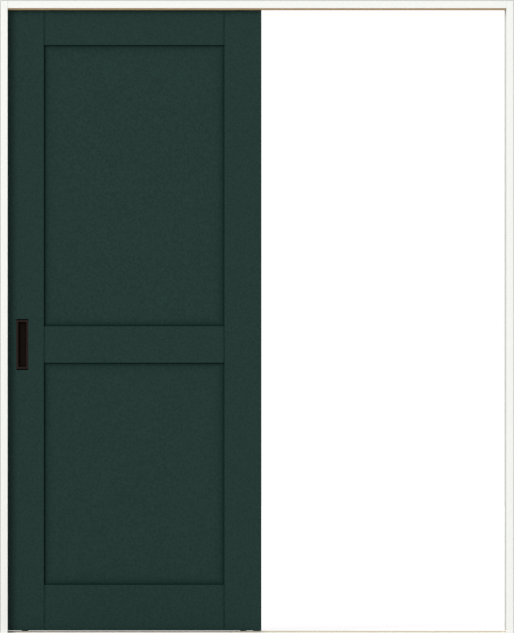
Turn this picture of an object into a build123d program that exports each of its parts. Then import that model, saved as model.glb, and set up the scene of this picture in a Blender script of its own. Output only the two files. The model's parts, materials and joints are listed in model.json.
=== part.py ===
from build123d import *
import os
from math import cos, radians, sin, tan

# Interior sliding door with its frame, in millimetres.
# +X is right seen from the front, the front faces -Y, and +Z is up.
# The origin is on the floor, at the middle of the frame's width and depth.
# One framed leaf stands on two grooved-rail rollers and slides to the right, in front of
# an open wall bay. Shoes on its top edge run in a channel under the head.

os.makedirs("parts", exist_ok=True)

# Frame members
FRAME_WIDTH = 1644
FRAME_HEIGHT = 2023
FRAME_DEPTH = 156
JAMB_FACE = 25
HEAD_FACE = 26
MULLION_FACE = 25
FRONT_LIP = 30
BAY_LIP = 6
MULLION_GAP = 3
FRAME_ROUND = 1
REBATE_DEPTH = 9
BOARD_THICKNESS = 12.5
BOARD_KERF = 3
BOARD_INSET = 9

# Leaf members
LEAF_THICKNESS = 33
LANE_CLEARANCE = 2
LEAF_FLOOR_GAP = 7.5
LATCH_ENGAGEMENT = 3
MULLION_COVER = 1.5
STILE_WIDTH = 118
TOP_RAIL = 118
MID_RAIL = 117
BOTTOM_RAIL = 146
MID_RAIL_HEIGHT = 922
PANEL_THICKNESS = 15
PANEL_GROOVE = 8
PANEL_FIT = 0.2
PANEL_EDGE_GAP = 0.5
LEAF_ROUND = 0.8
JOINT_CHAMFER = 0.8

# Dowels in the stile and rail joints
DOWEL_RADIUS = 5
DOWEL_LENGTH = 60
DOWEL_TAPER = 1
DOWEL_FIT = 0.1
DOWEL_END_GAP = 1
DOWEL_HEIGHT_SHARES = (0.35, 0.75)

# Channel under the head, and the stop inside it
GUIDE_DROP = 5.5
GUIDE_HEIGHT = 18
GUIDE_WALL = 2
GUIDE_ROUND = 0.6
GUIDE_END_GAP = 0.3
GUIDE_SCREW_COUNT = 5
GUIDE_SCREW_INSET = 40
TOP_ENGAGEMENT = 6
OPEN_REVEAL = 98
STOP_LENGTH = 30
STOP_SIDE_GAP = 0.3
STOP_DROP = 14
STOP_PAD = 5
STOP_GAP = 0.3

# Shoes on the leaf's top edge
SHOE_LENGTH = 60
SHOE_HEIGHT = 5
SHOE_FIT = 0.5
SHOE_CORNER = 6
SHOE_ROUND = 0.8
SHOE_SCREW_SPREAD = 36

# Floor rail
RAIL_BASE = 34
RAIL_TOP = 16
RAIL_HEIGHT = 6
RAIL_ROUND = 1
RAIL_END_GAP = 0.3
RAIL_HOLE_COUNT = 5
RAIL_HOLE_INSET = 57
GROOVE_DEPTH = 4
GROOVE_ANGLE = 90

# Sealing strip in the latch jamb and bump strip on the rear jamb
SEAL_BASE_WIDTH = 14
SEAL_BASE = 1.8
SEAL_WALL = 1
SEAL_LEAF_GAP = 0.3
BUFFER_WIDTH = 14
BUFFER_SEAT = 3
BUFFER_PROUD = 5
BUFFER_FLOOR_GAP = 8
BUFFER_ROUND = 1.5

# Screws, all with flat countersunk heads
SINK_ANGLE = 90
SCREW_FIT = 0.1
SCREW_TIP = 2
FRAME_SCREW_RADIUS = 2
FRAME_SCREW_HEAD = 4
FRAME_SCREW_LENGTH = 60
FIXING_HOLE_RADIUS = 2.5
FIXING_SINK_RADIUS = 5
FIXING_COUNT = 4
FIXING_FOOT = 250
FIXING_TOP_GAP = 243
SMALL_SCREW_RADIUS = 1.75
SMALL_SCREW_HEAD = 3
GUIDE_SCREW_LENGTH = 12
STOP_SCREW_LENGTH = 24
SHOE_SCREW_LENGTH = 22
PLATE_SCREW_LENGTH = 18

# Flush pulls
PULL_WIDTH = 37.5
PULL_HEIGHT = 163
PULL_SIDE_LIP = 5.75
PULL_END_LIP = 9.5
PULL_PROUD = 1.2
PULL_DEPTH = 12
PULL_WALL = 1.2
PULL_CORNER = 1.5
PULL_ROUND = 0.5
PULL_FIT = 0.3
PULL_INSET = 49.5

# Roller units in the leaf's bottom corners
ROLLER_EDGE = 8
WHEEL_RADIUS = 15
WHEEL_NOSE = 1
WHEEL_WIDTH = 9
WHEEL_DISH_WIDTH = 6
WHEEL_DISH_RADIUS = 9.5
WHEEL_RAIL_GAP = 0.3
WHEEL_HEADROOM = 0.8
WHEEL_POCKET_GAP = 1.5
HUB_RADIUS = 5.5
HUB_WIDTH = 10.8
AXLE_RADIUS = 2.5
AXLE_FIT = 0.05
AXLE_PRESS = 0.02
CASE_LENGTH = 84
CASE_WIDTH = 18
CASE_WALL = 1.2
MORTISE_FIT = 0.2
SLIDE_FIT = 0.2
PLATE_EAR = 8
PLATE_WIDTH = 22
PLATE_THICKNESS = 2
PLATE_CORNER = 3
CARRIAGE_LIFT = 0.4
CHEEK_RISE = 6
RAMP_HEIGHT = 17
RAMP_INSET = 0.5
RAMP_SLOPE_SHARE = 0.5
RAMP_GAP = 0.1
WEDGE_BAR = 4
ADJUSTER_PITCH = 1.25
ADJUSTER_TURNS = 4
ADJUSTER_RADIUS = 2.5
ADJUSTER_DROP = 6.2
ADJUSTER_HEAD_RADIUS = 4
ADJUSTER_HEAD_LENGTH = 3.5
ADJUSTER_COLLAR_RADIUS = 3.5
ADJUSTER_COLLAR = 1
ADJUSTER_TIP_GAP = 1
ADJUSTER_SOCKET = 4
ADJUSTER_SOCKET_DEPTH = 2
ADJUSTER_FIT = 0.08
ADJUSTER_BORE_RADIUS = 4.5

# Planes of the frame that the other pieces are set from
LANE_WIDTH = LEAF_THICKNESS + 2 * LANE_CLEARANCE
FRAME_FRONT = -FRAME_DEPTH / 2
FRAME_BACK = FRAME_DEPTH / 2
LANE_FRONT = FRAME_FRONT + FRONT_LIP
LANE_BACK = LANE_FRONT + LANE_WIDTH
LANE_MID = (LANE_FRONT + LANE_BACK) / 2
BAY_BACK = LANE_BACK + BAY_LIP
MULLION_FRONT = LANE_BACK + MULLION_GAP
JAMB_OUTER = FRAME_WIDTH / 2
JAMB_INNER = JAMB_OUTER - JAMB_FACE
HEAD_UNDERSIDE = FRAME_HEIGHT - HEAD_FACE
GUIDE_WIDTH = LANE_WIDTH + 2 * GUIDE_WALL
GUIDE_BOTTOM = HEAD_UNDERSIDE - GUIDE_DROP
GUIDE_TOP = GUIDE_BOTTOM + GUIDE_HEIGHT
GUIDE_CEILING = GUIDE_TOP - GUIDE_WALL
GUIDE_LENGTH = 2 * (JAMB_INNER - GUIDE_END_GAP)
FIXING_STEP = (FRAME_HEIGHT - FIXING_FOOT - FIXING_TOP_GAP) / (FIXING_COUNT - 1)
FIXING_HEIGHTS = [FIXING_FOOT + i * FIXING_STEP for i in range(FIXING_COUNT)]

# Planes of the leaf
LEAF_LEFT = -JAMB_INNER - LATCH_ENGAGEMENT
LEAF_RIGHT = MULLION_FACE / 2 + MULLION_COVER
LEAF_BOTTOM = LEAF_FLOOR_GAP
LEAF_TOP = GUIDE_BOTTOM + TOP_ENGAGEMENT
LEAF_HEIGHT = LEAF_TOP - LEAF_BOTTOM
LEAF_FRONT = LANE_MID - LEAF_THICKNESS / 2
LEAF_BACK = LANE_MID + LEAF_THICKNESS / 2
OPENING_WIDTH = LEAF_RIGHT - LEAF_LEFT - 2 * STILE_WIDTH
OPENING_MID = (LEAF_LEFT + LEAF_RIGHT) / 2
GROOVE_WIDTH = PANEL_THICKNESS + 2 * PANEL_FIT
PANEL_SEAT = PANEL_GROOVE - PANEL_EDGE_GAP
TOP_RAIL_BOTTOM = LEAF_TOP - TOP_RAIL
MID_RAIL_BOTTOM = MID_RAIL_HEIGHT - MID_RAIL / 2
MID_RAIL_TOP = MID_RAIL_HEIGHT + MID_RAIL / 2
BOTTOM_RAIL_TOP = LEAF_BOTTOM + BOTTOM_RAIL
DOOR_TRAVEL = -MULLION_FACE / 2 - OPEN_REVEAL - LEAF_LEFT

# Cross-section of the lane, with local X across it and local Y up
LANE_SECTION = Plane(origin=(0, LANE_MID, 0), x_dir=(0, 1, 0), z_dir=(1, 0, 0))

# Heights and lengths inside a roller unit
GROOVE_HALF = radians(GROOVE_ANGLE / 2)
GROOVE_HALF_WIDTH = GROOVE_DEPTH * tan(GROOVE_HALF)
GROOVE_FLOOR = RAIL_HEIGHT - GROOVE_DEPTH
NOSE_RISE = WHEEL_NOSE * (1 / sin(GROOVE_HALF) - 1)
AXLE_HEIGHT = GROOVE_FLOOR + WHEEL_RAIL_GAP / sin(GROOVE_HALF) + NOSE_RISE + WHEEL_RADIUS
WEDGE_TRAVEL = ADJUSTER_PITCH * ADJUSTER_TURNS
CARRIAGE_TRAVEL = WEDGE_TRAVEL * RAMP_SLOPE_SHARE
PLATE_TOP = LEAF_BOTTOM + PLATE_THICKNESS
PLATE_LENGTH = CASE_LENGTH + 2 * PLATE_EAR
ROLLER_INSET = ROLLER_EDGE + PLATE_LENGTH / 2
CARRIAGE_BOTTOM = PLATE_TOP + CARRIAGE_LIFT
CHEEK_TOP = AXLE_HEIGHT + CHEEK_RISE
BAR_BOTTOM = AXLE_HEIGHT + WHEEL_RADIUS + CARRIAGE_TRAVEL + WHEEL_HEADROOM
BAR_TOP = BAR_BOTTOM + WEDGE_BAR
CASE_CEILING = BAR_TOP + SLIDE_FIT
CASE_TOP = CASE_CEILING + CASE_WALL
CASE_INSIDE = CASE_LENGTH / 2 - CASE_WALL
CARRIAGE_END = CASE_INSIDE - SLIDE_FIT
CARRIAGE_WIDTH = CASE_WIDTH - 2 * CASE_WALL - 2 * SLIDE_FIT
CHEEK_INSIDE = HUB_WIDTH + 2 * SLIDE_FIT
POCKET_HALF = WHEEL_RADIUS + WHEEL_POCKET_GAP
RAMP_START = POCKET_HALF + RAMP_INSET
RAMP_TOP = RAMP_HEIGHT + RAMP_SLOPE_SHARE * (CARRIAGE_END - RAMP_START)
COLLAR_END = CASE_INSIDE - SLIDE_FIT - ADJUSTER_COLLAR
WEDGE_OUTER = -(COLLAR_END - SLIDE_FIT) + WEDGE_TRAVEL
WEDGE_FOOT = RAMP_START + WEDGE_TRAVEL + 2 * SLIDE_FIT
ADJUSTER_HEIGHT = BAR_TOP - ADJUSTER_DROP


def countersunk_screw(radius, head_radius, length):
    """A flat-headed screw along -Z, with the top of its head at the origin."""
    head_depth = (head_radius - radius) / tan(radians(SINK_ANGLE / 2))
    with BuildPart() as screw:
        with BuildSketch(Plane.XZ):
            with BuildLine():
                Polyline(
                    (0, 0),
                    (head_radius, 0),
                    (radius, -head_depth),
                    (radius, SCREW_TIP - length),
                    (0, -length),
                    close=True,
                )
            make_face()
        revolve(axis=Axis.Z)
    return screw.part


def screw_group(places, radius, head_radius, length):
    """The same screw at each of the given planes, head outwards."""
    screw = countersunk_screw(radius, head_radius, length)
    with BuildPart() as group:
        with Locations(*places):
            add(screw)
    return group.part


def facing(direction, *points):
    """One plane at each point, with its normal along the given direction."""
    return [Plane(origin=point, z_dir=direction) for point in points]


# Places of the screws, read by the screws and by the pieces that they pass through
HEAD_SCREW_HEIGHT = (GUIDE_TOP + FRAME_HEIGHT) / 2
FRONT_SCREW_DEPTH = (FRAME_FRONT + LANE_FRONT) / 2
BACK_SCREW_DEPTH = (LANE_BACK + FRAME_BACK) / 2
MULLION_MID = (MULLION_FRONT + FRAME_BACK) / 2
MULLION_SPREAD = (FRAME_BACK - MULLION_FRONT) / 4
LATCH_SCREWS = facing(
    (-1, 0, 0),
    (-JAMB_OUTER, FRONT_SCREW_DEPTH, HEAD_SCREW_HEIGHT),
    (-JAMB_OUTER, BACK_SCREW_DEPTH, HEAD_SCREW_HEIGHT),
)
REAR_SCREWS = facing(
    (1, 0, 0),
    (JAMB_OUTER, FRONT_SCREW_DEPTH, HEAD_SCREW_HEIGHT),
    (JAMB_OUTER, LANE_MID, HEAD_SCREW_HEIGHT),
)
MULLION_SCREWS = facing(
    (0, 0, 1),
    (0, MULLION_MID - MULLION_SPREAD, FRAME_HEIGHT),
    (0, MULLION_MID + MULLION_SPREAD, FRAME_HEIGHT),
)
GUIDE_SCREW_SPAN = GUIDE_LENGTH - 2 * GUIDE_SCREW_INSET
GUIDE_SCREWS = facing(
    (0, 0, -1),
    *[
        (GUIDE_SCREW_SPAN * (i / (GUIDE_SCREW_COUNT - 1) - 1 / 2), LANE_MID, GUIDE_CEILING)
        for i in range(GUIDE_SCREW_COUNT)
    ],
)
STOP_FACE = LEAF_RIGHT + DOOR_TRAVEL + STOP_GAP
STOP_LEFT = STOP_FACE + STOP_PAD
STOP_BOTTOM = GUIDE_CEILING - STOP_DROP
STOP_SCREWS = facing((0, 0, -1), (STOP_LEFT + STOP_LENGTH / 2, LANE_MID, STOP_BOTTOM))


def drill_for(places, radius, head_radius, length):
    """Countersunk holes for screws at the given planes, cut from the part being built."""
    with Locations(*places):
        CounterSinkHole(
            radius + SCREW_FIT,
            head_radius + SCREW_FIT,
            depth=length + SCREW_FIT,
            counter_sink_angle=SINK_ANGLE,
        )


def drill_pilots(places, radius, length):
    """Plain holes for the shanks of screws, cut from the part being built."""
    with Locations(*places):
        Hole(radius + SCREW_FIT, depth=length + SCREW_FIT)


def drill_fixings(direction, x):
    """Holes in a jamb for the screws that fix it to the building, along the lane."""
    with Locations(*facing(direction, *[(x, LANE_MID, height) for height in FIXING_HEIGHTS])):
        CounterSinkHole(FIXING_HOLE_RADIUS, FIXING_SINK_RADIUS, counter_sink_angle=SINK_ANGLE)


# Latch jamb, with the slot that takes the leaf's edge
with BuildPart() as latch_jamb:
    with BuildSketch():
        with Locations((-(JAMB_OUTER + JAMB_INNER) / 2, 0)):
            Rectangle(JAMB_FACE, FRAME_DEPTH)
        fillet(vertices().group_by(Axis.X)[-1], FRAME_ROUND)
    extrude(amount=FRAME_HEIGHT)
    with BuildSketch():
        with Locations((-JAMB_INNER, LANE_MID)):
            Rectangle(2 * REBATE_DEPTH, LANE_WIDTH)
    extrude(amount=GUIDE_TOP, mode=Mode.SUBTRACT)
    slot_edges = edges().filter_by(Axis.Z).filter_by_position(Axis.Y, LANE_FRONT, LANE_BACK)
    fillet(slot_edges.group_by(Axis.X)[-1], FRAME_ROUND)
    drill_fixings((1, 0, 0), -JAMB_INNER - REBATE_DEPTH)
    drill_for(LATCH_SCREWS, FRAME_SCREW_RADIUS, FRAME_SCREW_HEAD, FRAME_SCREW_LENGTH)

# Rear jamb, only as deep as the lane and its lips, with a seat for the bump strip
with BuildPart() as rear_jamb:
    with BuildSketch():
        with Locations(((JAMB_OUTER + JAMB_INNER) / 2, (FRAME_FRONT + BAY_BACK) / 2)):
            Rectangle(JAMB_FACE, BAY_BACK - FRAME_FRONT)
        fillet(vertices().group_by(Axis.X)[0], FRAME_ROUND)
    extrude(amount=FRAME_HEIGHT)
    with BuildSketch(Plane.XY.offset(BUFFER_FLOOR_GAP)):
        with Locations((JAMB_INNER, LANE_MID)):
            Rectangle(2 * BUFFER_SEAT, BUFFER_WIDTH)
    extrude(amount=GUIDE_BOTTOM - BUFFER_FLOOR_GAP, mode=Mode.SUBTRACT)
    drill_fixings((-1, 0, 0), JAMB_INNER + BUFFER_SEAT)
    drill_for(REAR_SCREWS, FRAME_SCREW_RADIUS, FRAME_SCREW_HEAD, FRAME_SCREW_LENGTH)

# Head between the jambs: full depth over the doorway, lane depth over the bay
with BuildPart() as head:
    with BuildSketch(Plane.XY.offset(HEAD_UNDERSIDE)):
        with BuildLine():
            Polyline(
                (-JAMB_INNER, FRAME_FRONT),
                (JAMB_INNER, FRAME_FRONT),
                (JAMB_INNER, BAY_BACK),
                (MULLION_FACE / 2, BAY_BACK),
                (MULLION_FACE / 2, FRAME_BACK),
                (-JAMB_INNER, FRAME_BACK),
                close=True,
            )
        make_face()
    extrude(amount=HEAD_FACE)
    lower_edges = edges().filter_by(Axis.X).group_by(Axis.Z)[0].sort_by(Axis.Y)
    fillet([lower_edges[0], lower_edges[-1]], FRAME_ROUND)
    with BuildSketch(Plane.XY.offset(HEAD_UNDERSIDE)):
        with Locations((0, LANE_MID)):
            Rectangle(2 * JAMB_OUTER, GUIDE_WIDTH)
    extrude(amount=GUIDE_TOP - HEAD_UNDERSIDE, mode=Mode.SUBTRACT)
    drill_for(MULLION_SCREWS, FRAME_SCREW_RADIUS, FRAME_SCREW_HEAD, FRAME_SCREW_LENGTH)
    drill_pilots(LATCH_SCREWS + REAR_SCREWS, FRAME_SCREW_RADIUS, FRAME_SCREW_LENGTH)
    drill_pilots(GUIDE_SCREWS, SMALL_SCREW_RADIUS, GUIDE_SCREW_LENGTH)
    drill_pilots(STOP_SCREWS, SMALL_SCREW_RADIUS, STOP_SCREW_LENGTH)

# Mullion between the doorway and the bay, kerfed for the boards of the bay wall
with BuildPart() as mullion:
    with BuildSketch():
        with Locations((0, MULLION_MID)):
            Rectangle(MULLION_FACE, FRAME_BACK - MULLION_FRONT)
        fillet(vertices(), FRAME_ROUND)
        with Locations(
            (MULLION_FACE / 2, BAY_BACK + BOARD_THICKNESS / 2),
            (MULLION_FACE / 2, FRAME_BACK - BOARD_INSET - BOARD_THICKNESS / 2),
        ):
            Rectangle(2 * BOARD_KERF, BOARD_THICKNESS, mode=Mode.SUBTRACT)
    extrude(amount=HEAD_UNDERSIDE)
    drill_pilots(MULLION_SCREWS, FRAME_SCREW_RADIUS, FRAME_SCREW_LENGTH)

frame_joint_screws = screw_group(
    LATCH_SCREWS + REAR_SCREWS + MULLION_SCREWS,
    FRAME_SCREW_RADIUS,
    FRAME_SCREW_HEAD,
    FRAME_SCREW_LENGTH,
)

# Channel under the head
with BuildPart() as top_guide_rail:
    with BuildSketch(LANE_SECTION):
        with Locations((0, (GUIDE_BOTTOM + GUIDE_TOP) / 2)):
            Rectangle(GUIDE_WIDTH, GUIDE_HEIGHT)
        with Locations((0, GUIDE_BOTTOM)):
            Rectangle(LANE_WIDTH, 2 * (GUIDE_HEIGHT - GUIDE_WALL), mode=Mode.SUBTRACT)
        fillet(vertices().group_by(Axis.Y)[0], GUIDE_ROUND)
    extrude(amount=GUIDE_LENGTH / 2, both=True)
    drill_for(GUIDE_SCREWS, SMALL_SCREW_RADIUS, SMALL_SCREW_HEAD, GUIDE_SCREW_LENGTH)
    drill_pilots(STOP_SCREWS, SMALL_SCREW_RADIUS, STOP_SCREW_LENGTH)

guide_rail_screws = screw_group(
    GUIDE_SCREWS, SMALL_SCREW_RADIUS, SMALL_SCREW_HEAD, GUIDE_SCREW_LENGTH
)

# Stop that ends the leaf's travel, with its rubber pad
STOP_WIDTH = LANE_WIDTH - 2 * STOP_SIDE_GAP
with BuildPart() as open_stop:
    with BuildSketch(Plane.XY.offset(STOP_BOTTOM)):
        with Locations((STOP_LEFT + STOP_LENGTH / 2, LANE_MID)):
            Rectangle(STOP_LENGTH, STOP_WIDTH)
        fillet(vertices().group_by(Axis.X)[-1], SHOE_ROUND)
    extrude(amount=STOP_DROP)
    drill_for(STOP_SCREWS, SMALL_SCREW_RADIUS, SMALL_SCREW_HEAD, STOP_SCREW_LENGTH)

with BuildPart() as open_stop_pad:
    with BuildSketch(Plane.XY.offset(STOP_BOTTOM)):
        with Locations((STOP_FACE + STOP_PAD / 2, LANE_MID)):
            Rectangle(STOP_PAD, STOP_WIDTH)
        fillet(vertices().group_by(Axis.X)[0], SHOE_ROUND)
    extrude(amount=STOP_DROP)

open_stop_screw = screw_group(
    STOP_SCREWS, SMALL_SCREW_RADIUS, SMALL_SCREW_HEAD, STOP_SCREW_LENGTH
)

# Floor rail: a low ramped bar with a groove for the wheels
with BuildPart() as floor_rail:
    with BuildSketch(LANE_SECTION):
        with BuildLine():
            Polyline(
                (-RAIL_BASE / 2, 0),
                (RAIL_BASE / 2, 0),
                (RAIL_TOP / 2, RAIL_HEIGHT),
                (GROOVE_HALF_WIDTH, RAIL_HEIGHT),
                (0, GROOVE_FLOOR),
                (-GROOVE_HALF_WIDTH, RAIL_HEIGHT),
                (-RAIL_TOP / 2, RAIL_HEIGHT),
                close=True,
            )
        make_face()
        shoulders = vertices().group_by(Axis.Y)[-1].sort_by(Axis.X)
        fillet([shoulders[0], shoulders[-1]], RAIL_ROUND)
    extrude(amount=JAMB_INNER - RAIL_END_GAP, both=True)
    RAIL_HOLE_SPAN = 2 * (JAMB_INNER - RAIL_HOLE_INSET)
    with Locations((0, LANE_MID, GROOVE_FLOOR)):
        with GridLocations(RAIL_HOLE_SPAN / (RAIL_HOLE_COUNT - 1), 0, RAIL_HOLE_COUNT, 1):
            CounterSinkHole(
                SMALL_SCREW_RADIUS, SMALL_SCREW_HEAD, counter_sink_angle=SINK_ANGLE
            )

# Sealing strip in the latch jamb's slot: a flat foot with a hollow bulb
SEAL_HEIGHT = REBATE_DEPTH - LATCH_ENGAGEMENT - SEAL_LEAF_GAP
SEAL_FOOT_PLANE = Plane(origin=(-JAMB_INNER - REBATE_DEPTH, LANE_MID, 0))
with BuildPart() as latch_seal:
    with BuildSketch(SEAL_FOOT_PLANE):
        with Locations((SEAL_BASE / 2, 0)):
            Rectangle(SEAL_BASE, SEAL_BASE_WIDTH)
        with Locations((SEAL_HEIGHT / 2, 0)):
            Circle(SEAL_HEIGHT / 2)
            Circle(SEAL_HEIGHT / 2 - SEAL_WALL, mode=Mode.SUBTRACT)
    extrude(amount=GUIDE_TOP)

# Bump strip on the rear jamb
with BuildPart() as rear_buffer:
    with BuildSketch(Plane.XY.offset(BUFFER_FLOOR_GAP)):
        with Locations((JAMB_INNER + (BUFFER_SEAT - BUFFER_PROUD) / 2, LANE_MID)):
            Rectangle(BUFFER_SEAT + BUFFER_PROUD, BUFFER_WIDTH)
        fillet(vertices().group_by(Axis.X)[0], BUFFER_ROUND)
    extrude(amount=GUIDE_BOTTOM - BUFFER_FLOOR_GAP)


class Side:
    """One upright edge of the leaf: where it is, and which way the leaf lies from it."""

    def __init__(self, outer, inward):
        self.outer = outer
        self.inward = inward
        self.inner = outer + inward * STILE_WIDTH
        self.roller = outer + inward * ROLLER_INSET

    def section(self):
        """Upright plane through the roller unit's middle, local X inwards and local Y up."""
        return Plane(
            origin=(self.roller, LANE_MID, 0),
            x_dir=(self.inward, 0, 0),
            z_dir=(0, -self.inward, 0),
        )

    def outward(self, x, height):
        """Plane that faces the leaf's outer edge, at a distance inwards from the unit's middle."""
        return Plane(
            origin=(self.roller + self.inward * x, LANE_MID, height),
            z_dir=(-self.inward, 0, 0),
        )

    def plate_screws(self):
        """Places of the screws that hold the unit's face plate, from below."""
        reach = (CASE_LENGTH + PLATE_EAR) / 2
        ends = (self.roller - reach, self.roller + reach)
        return facing((0, 0, -1), *[(x, LANE_MID, LEAF_BOTTOM) for x in ends])

    def shoe_screws(self):
        """Places of the screws that hold the shoe on the leaf's top edge, from above."""
        ends = (self.roller - SHOE_SCREW_SPREAD / 2, self.roller + SHOE_SCREW_SPREAD / 2)
        return facing((0, 0, 1), *[(x, LANE_MID, LEAF_TOP + SHOE_HEIGHT) for x in ends])


LATCH = Side(LEAF_LEFT, 1)
REAR = Side(LEAF_RIGHT, -1)

# Bottom and height of each rail of the leaf
TOP_SPAN = (TOP_RAIL_BOTTOM, TOP_RAIL)
MID_SPAN = (MID_RAIL_BOTTOM, MID_RAIL)
BOTTOM_SPAN = (LEAF_BOTTOM, BOTTOM_RAIL)


def dowel_places(spans, sides):
    """Planes along the leaf at the middle of each dowel."""
    return [
        Plane(origin=(side.inner, LANE_MID, bottom + share * height), z_dir=(1, 0, 0))
        for side in sides
        for bottom, height in spans
        for share in DOWEL_HEIGHT_SHARES
    ]


def bore_dowels(spans, sides):
    """Holes for the dowels, cut from the part being built."""
    with Locations(*dowel_places(spans, sides)):
        Cylinder(
            DOWEL_RADIUS + DOWEL_FIT,
            DOWEL_LENGTH + 2 * DOWEL_END_GAP,
            mode=Mode.SUBTRACT,
        )


def cut_roller_seat(side):
    """Mortise, plate recess and screw holes of a roller unit, cut from the part being built."""
    with BuildSketch(Plane.XY.offset(LEAF_BOTTOM)) as mortise:
        with Locations((side.roller, LANE_MID)):
            Rectangle(CASE_LENGTH + 2 * MORTISE_FIT, CASE_WIDTH + 2 * MORTISE_FIT)
    extrude(mortise.sketch, amount=CASE_TOP + MORTISE_FIT - LEAF_BOTTOM, mode=Mode.SUBTRACT)
    with BuildSketch(Plane.XY.offset(LEAF_BOTTOM)) as recess:
        with Locations((side.roller, LANE_MID)):
            RectangleRounded(
                PLATE_LENGTH + 2 * MORTISE_FIT, PLATE_WIDTH + 2 * MORTISE_FIT, PLATE_CORNER
            )
    extrude(recess.sketch, amount=PLATE_THICKNESS, mode=Mode.SUBTRACT)
    drill_pilots(side.plate_screws(), SMALL_SCREW_RADIUS, PLATE_SCREW_LENGTH)


def make_stile(side, pull_place=None):
    """An upright of the leaf, grooved for the panels and mortised for its roller unit."""
    with BuildPart() as stile:
        with BuildSketch(Plane.XY.offset(LEAF_BOTTOM)):
            with Locations(((side.outer + side.inner) / 2, LANE_MID)):
                Rectangle(STILE_WIDTH, LEAF_THICKNESS)
            corners = vertices().sort_by(Axis.X, reverse=side.inward < 0)
            fillet(corners[:2], LEAF_ROUND)
            chamfer(corners[2:], JOINT_CHAMFER)
            with Locations((side.inner, LANE_MID)):
                Rectangle(2 * PANEL_GROOVE, GROOVE_WIDTH, mode=Mode.SUBTRACT)
        extrude(amount=LEAF_HEIGHT)
        cut_roller_seat(side)
        with Locations(side.outward(-ROLLER_INSET, ADJUSTER_HEIGHT)):
            Hole(ADJUSTER_BORE_RADIUS, depth=ROLLER_INSET - CASE_LENGTH / 2)
        if pull_place:
            with BuildSketch(pull_place):
                Rectangle(PULL_CUP_WIDTH + 2 * PULL_FIT, PULL_CUP_HEIGHT + 2 * PULL_FIT)
            extrude(amount=-LEAF_THICKNESS, mode=Mode.SUBTRACT)
        drill_pilots(side.shoe_screws(), SMALL_SCREW_RADIUS, SHOE_SCREW_LENGTH)
        bore_dowels((TOP_SPAN, MID_SPAN, BOTTOM_SPAN), (side,))
    return stile.part


def make_rail(span, grooved_above, grooved_below, seated=()):
    """A cross member of the leaf, with stub tenons that fill the grooves of the stiles.

    A roller seat longer than its stile runs on into the rail at the sides in seated.
    """
    bottom, height = span
    with BuildPart() as rail:
        with BuildSketch(LANE_SECTION.offset(OPENING_MID)):
            with Locations((0, bottom + height / 2)):
                Rectangle(LEAF_THICKNESS, height)
            chamfer(vertices(), JOINT_CHAMFER)
        extrude(amount=OPENING_WIDTH / 2, both=True)
        sides = edges().filter_by(Axis.Z).group_by(Axis.Y)
        chamfer(sides[0] + sides[-1], JOINT_CHAMFER)
        with BuildSketch(LANE_SECTION.offset(OPENING_MID)):
            with Locations((0, bottom + height / 2)):
                Rectangle(PANEL_THICKNESS, height)
        extrude(amount=OPENING_WIDTH / 2 + PANEL_SEAT, both=True)
        groove_heights = [bottom] * grooved_below + [bottom + height] * grooved_above
        with BuildSketch(LANE_SECTION.offset(OPENING_MID)):
            with Locations(*[(0, groove_height) for groove_height in groove_heights]):
                Rectangle(GROOVE_WIDTH, 2 * PANEL_GROOVE)
        extrude(amount=OPENING_WIDTH, both=True, mode=Mode.SUBTRACT)
        bore_dowels((span,), (LATCH, REAR))
        for side in seated:
            cut_roller_seat(side)
    return rail.part


def make_panel(bottom, top):
    """A flat panel between two rails, held in the grooves all round."""
    with BuildPart() as panel:
        with BuildSketch(Plane.XZ.offset(-LANE_MID)):
            with Locations((OPENING_MID, (bottom + top) / 2)):
                Rectangle(OPENING_WIDTH + 2 * PANEL_SEAT, top - bottom + 2 * PANEL_SEAT)
        extrude(amount=PANEL_THICKNESS / 2, both=True)
    return panel.part


# Flush pulls, back to back through the latch stile
PULL_RECESS_WIDTH = PULL_WIDTH - 2 * PULL_SIDE_LIP
PULL_RECESS_HEIGHT = PULL_HEIGHT - 2 * PULL_END_LIP
PULL_CUP_WIDTH = PULL_RECESS_WIDTH + 2 * PULL_WALL
PULL_CUP_HEIGHT = PULL_RECESS_HEIGHT + 2 * PULL_WALL
PULL_X = LEAF_LEFT + PULL_INSET
FRONT_PULL_PLACE = Plane(
    origin=(PULL_X, LEAF_FRONT, MID_RAIL_HEIGHT), x_dir=(1, 0, 0), z_dir=(0, -1, 0)
)
BACK_PULL_PLACE = Plane(
    origin=(PULL_X, LEAF_BACK, MID_RAIL_HEIGHT), x_dir=(-1, 0, 0), z_dir=(0, 1, 0)
)


def make_pull(place):
    """A folded metal cup with a flat rim that lies on the leaf's face."""
    with BuildPart() as pull:
        with BuildSketch(place):
            RectangleRounded(PULL_WIDTH, PULL_HEIGHT, PULL_CORNER)
        extrude(amount=PULL_PROUD)
        fillet(faces().sort_by(Axis(place.origin, place.z_dir))[-1].edges(), PULL_ROUND)
        with BuildSketch(place):
            Rectangle(PULL_CUP_WIDTH, PULL_CUP_HEIGHT)
        extrude(amount=-PULL_DEPTH - PULL_WALL)
        with BuildSketch(place.offset(PULL_PROUD)):
            RectangleRounded(PULL_RECESS_WIDTH, PULL_RECESS_HEIGHT, PULL_CORNER)
        extrude(amount=-PULL_PROUD - PULL_DEPTH, mode=Mode.SUBTRACT)
    return pull.part


front_pull = make_pull(FRONT_PULL_PLACE)
back_pull = make_pull(BACK_PULL_PLACE)

latch_stile = make_stile(LATCH, FRONT_PULL_PLACE)
rear_stile = make_stile(REAR)
top_rail = make_rail(TOP_SPAN, False, True)
mid_rail = make_rail(MID_SPAN, True, True)
bottom_rail = make_rail(BOTTOM_SPAN, True, False, (LATCH, REAR))
upper_panel = make_panel(MID_RAIL_TOP, TOP_RAIL_BOTTOM)
lower_panel = make_panel(BOTTOM_RAIL_TOP, MID_RAIL_BOTTOM)

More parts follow.
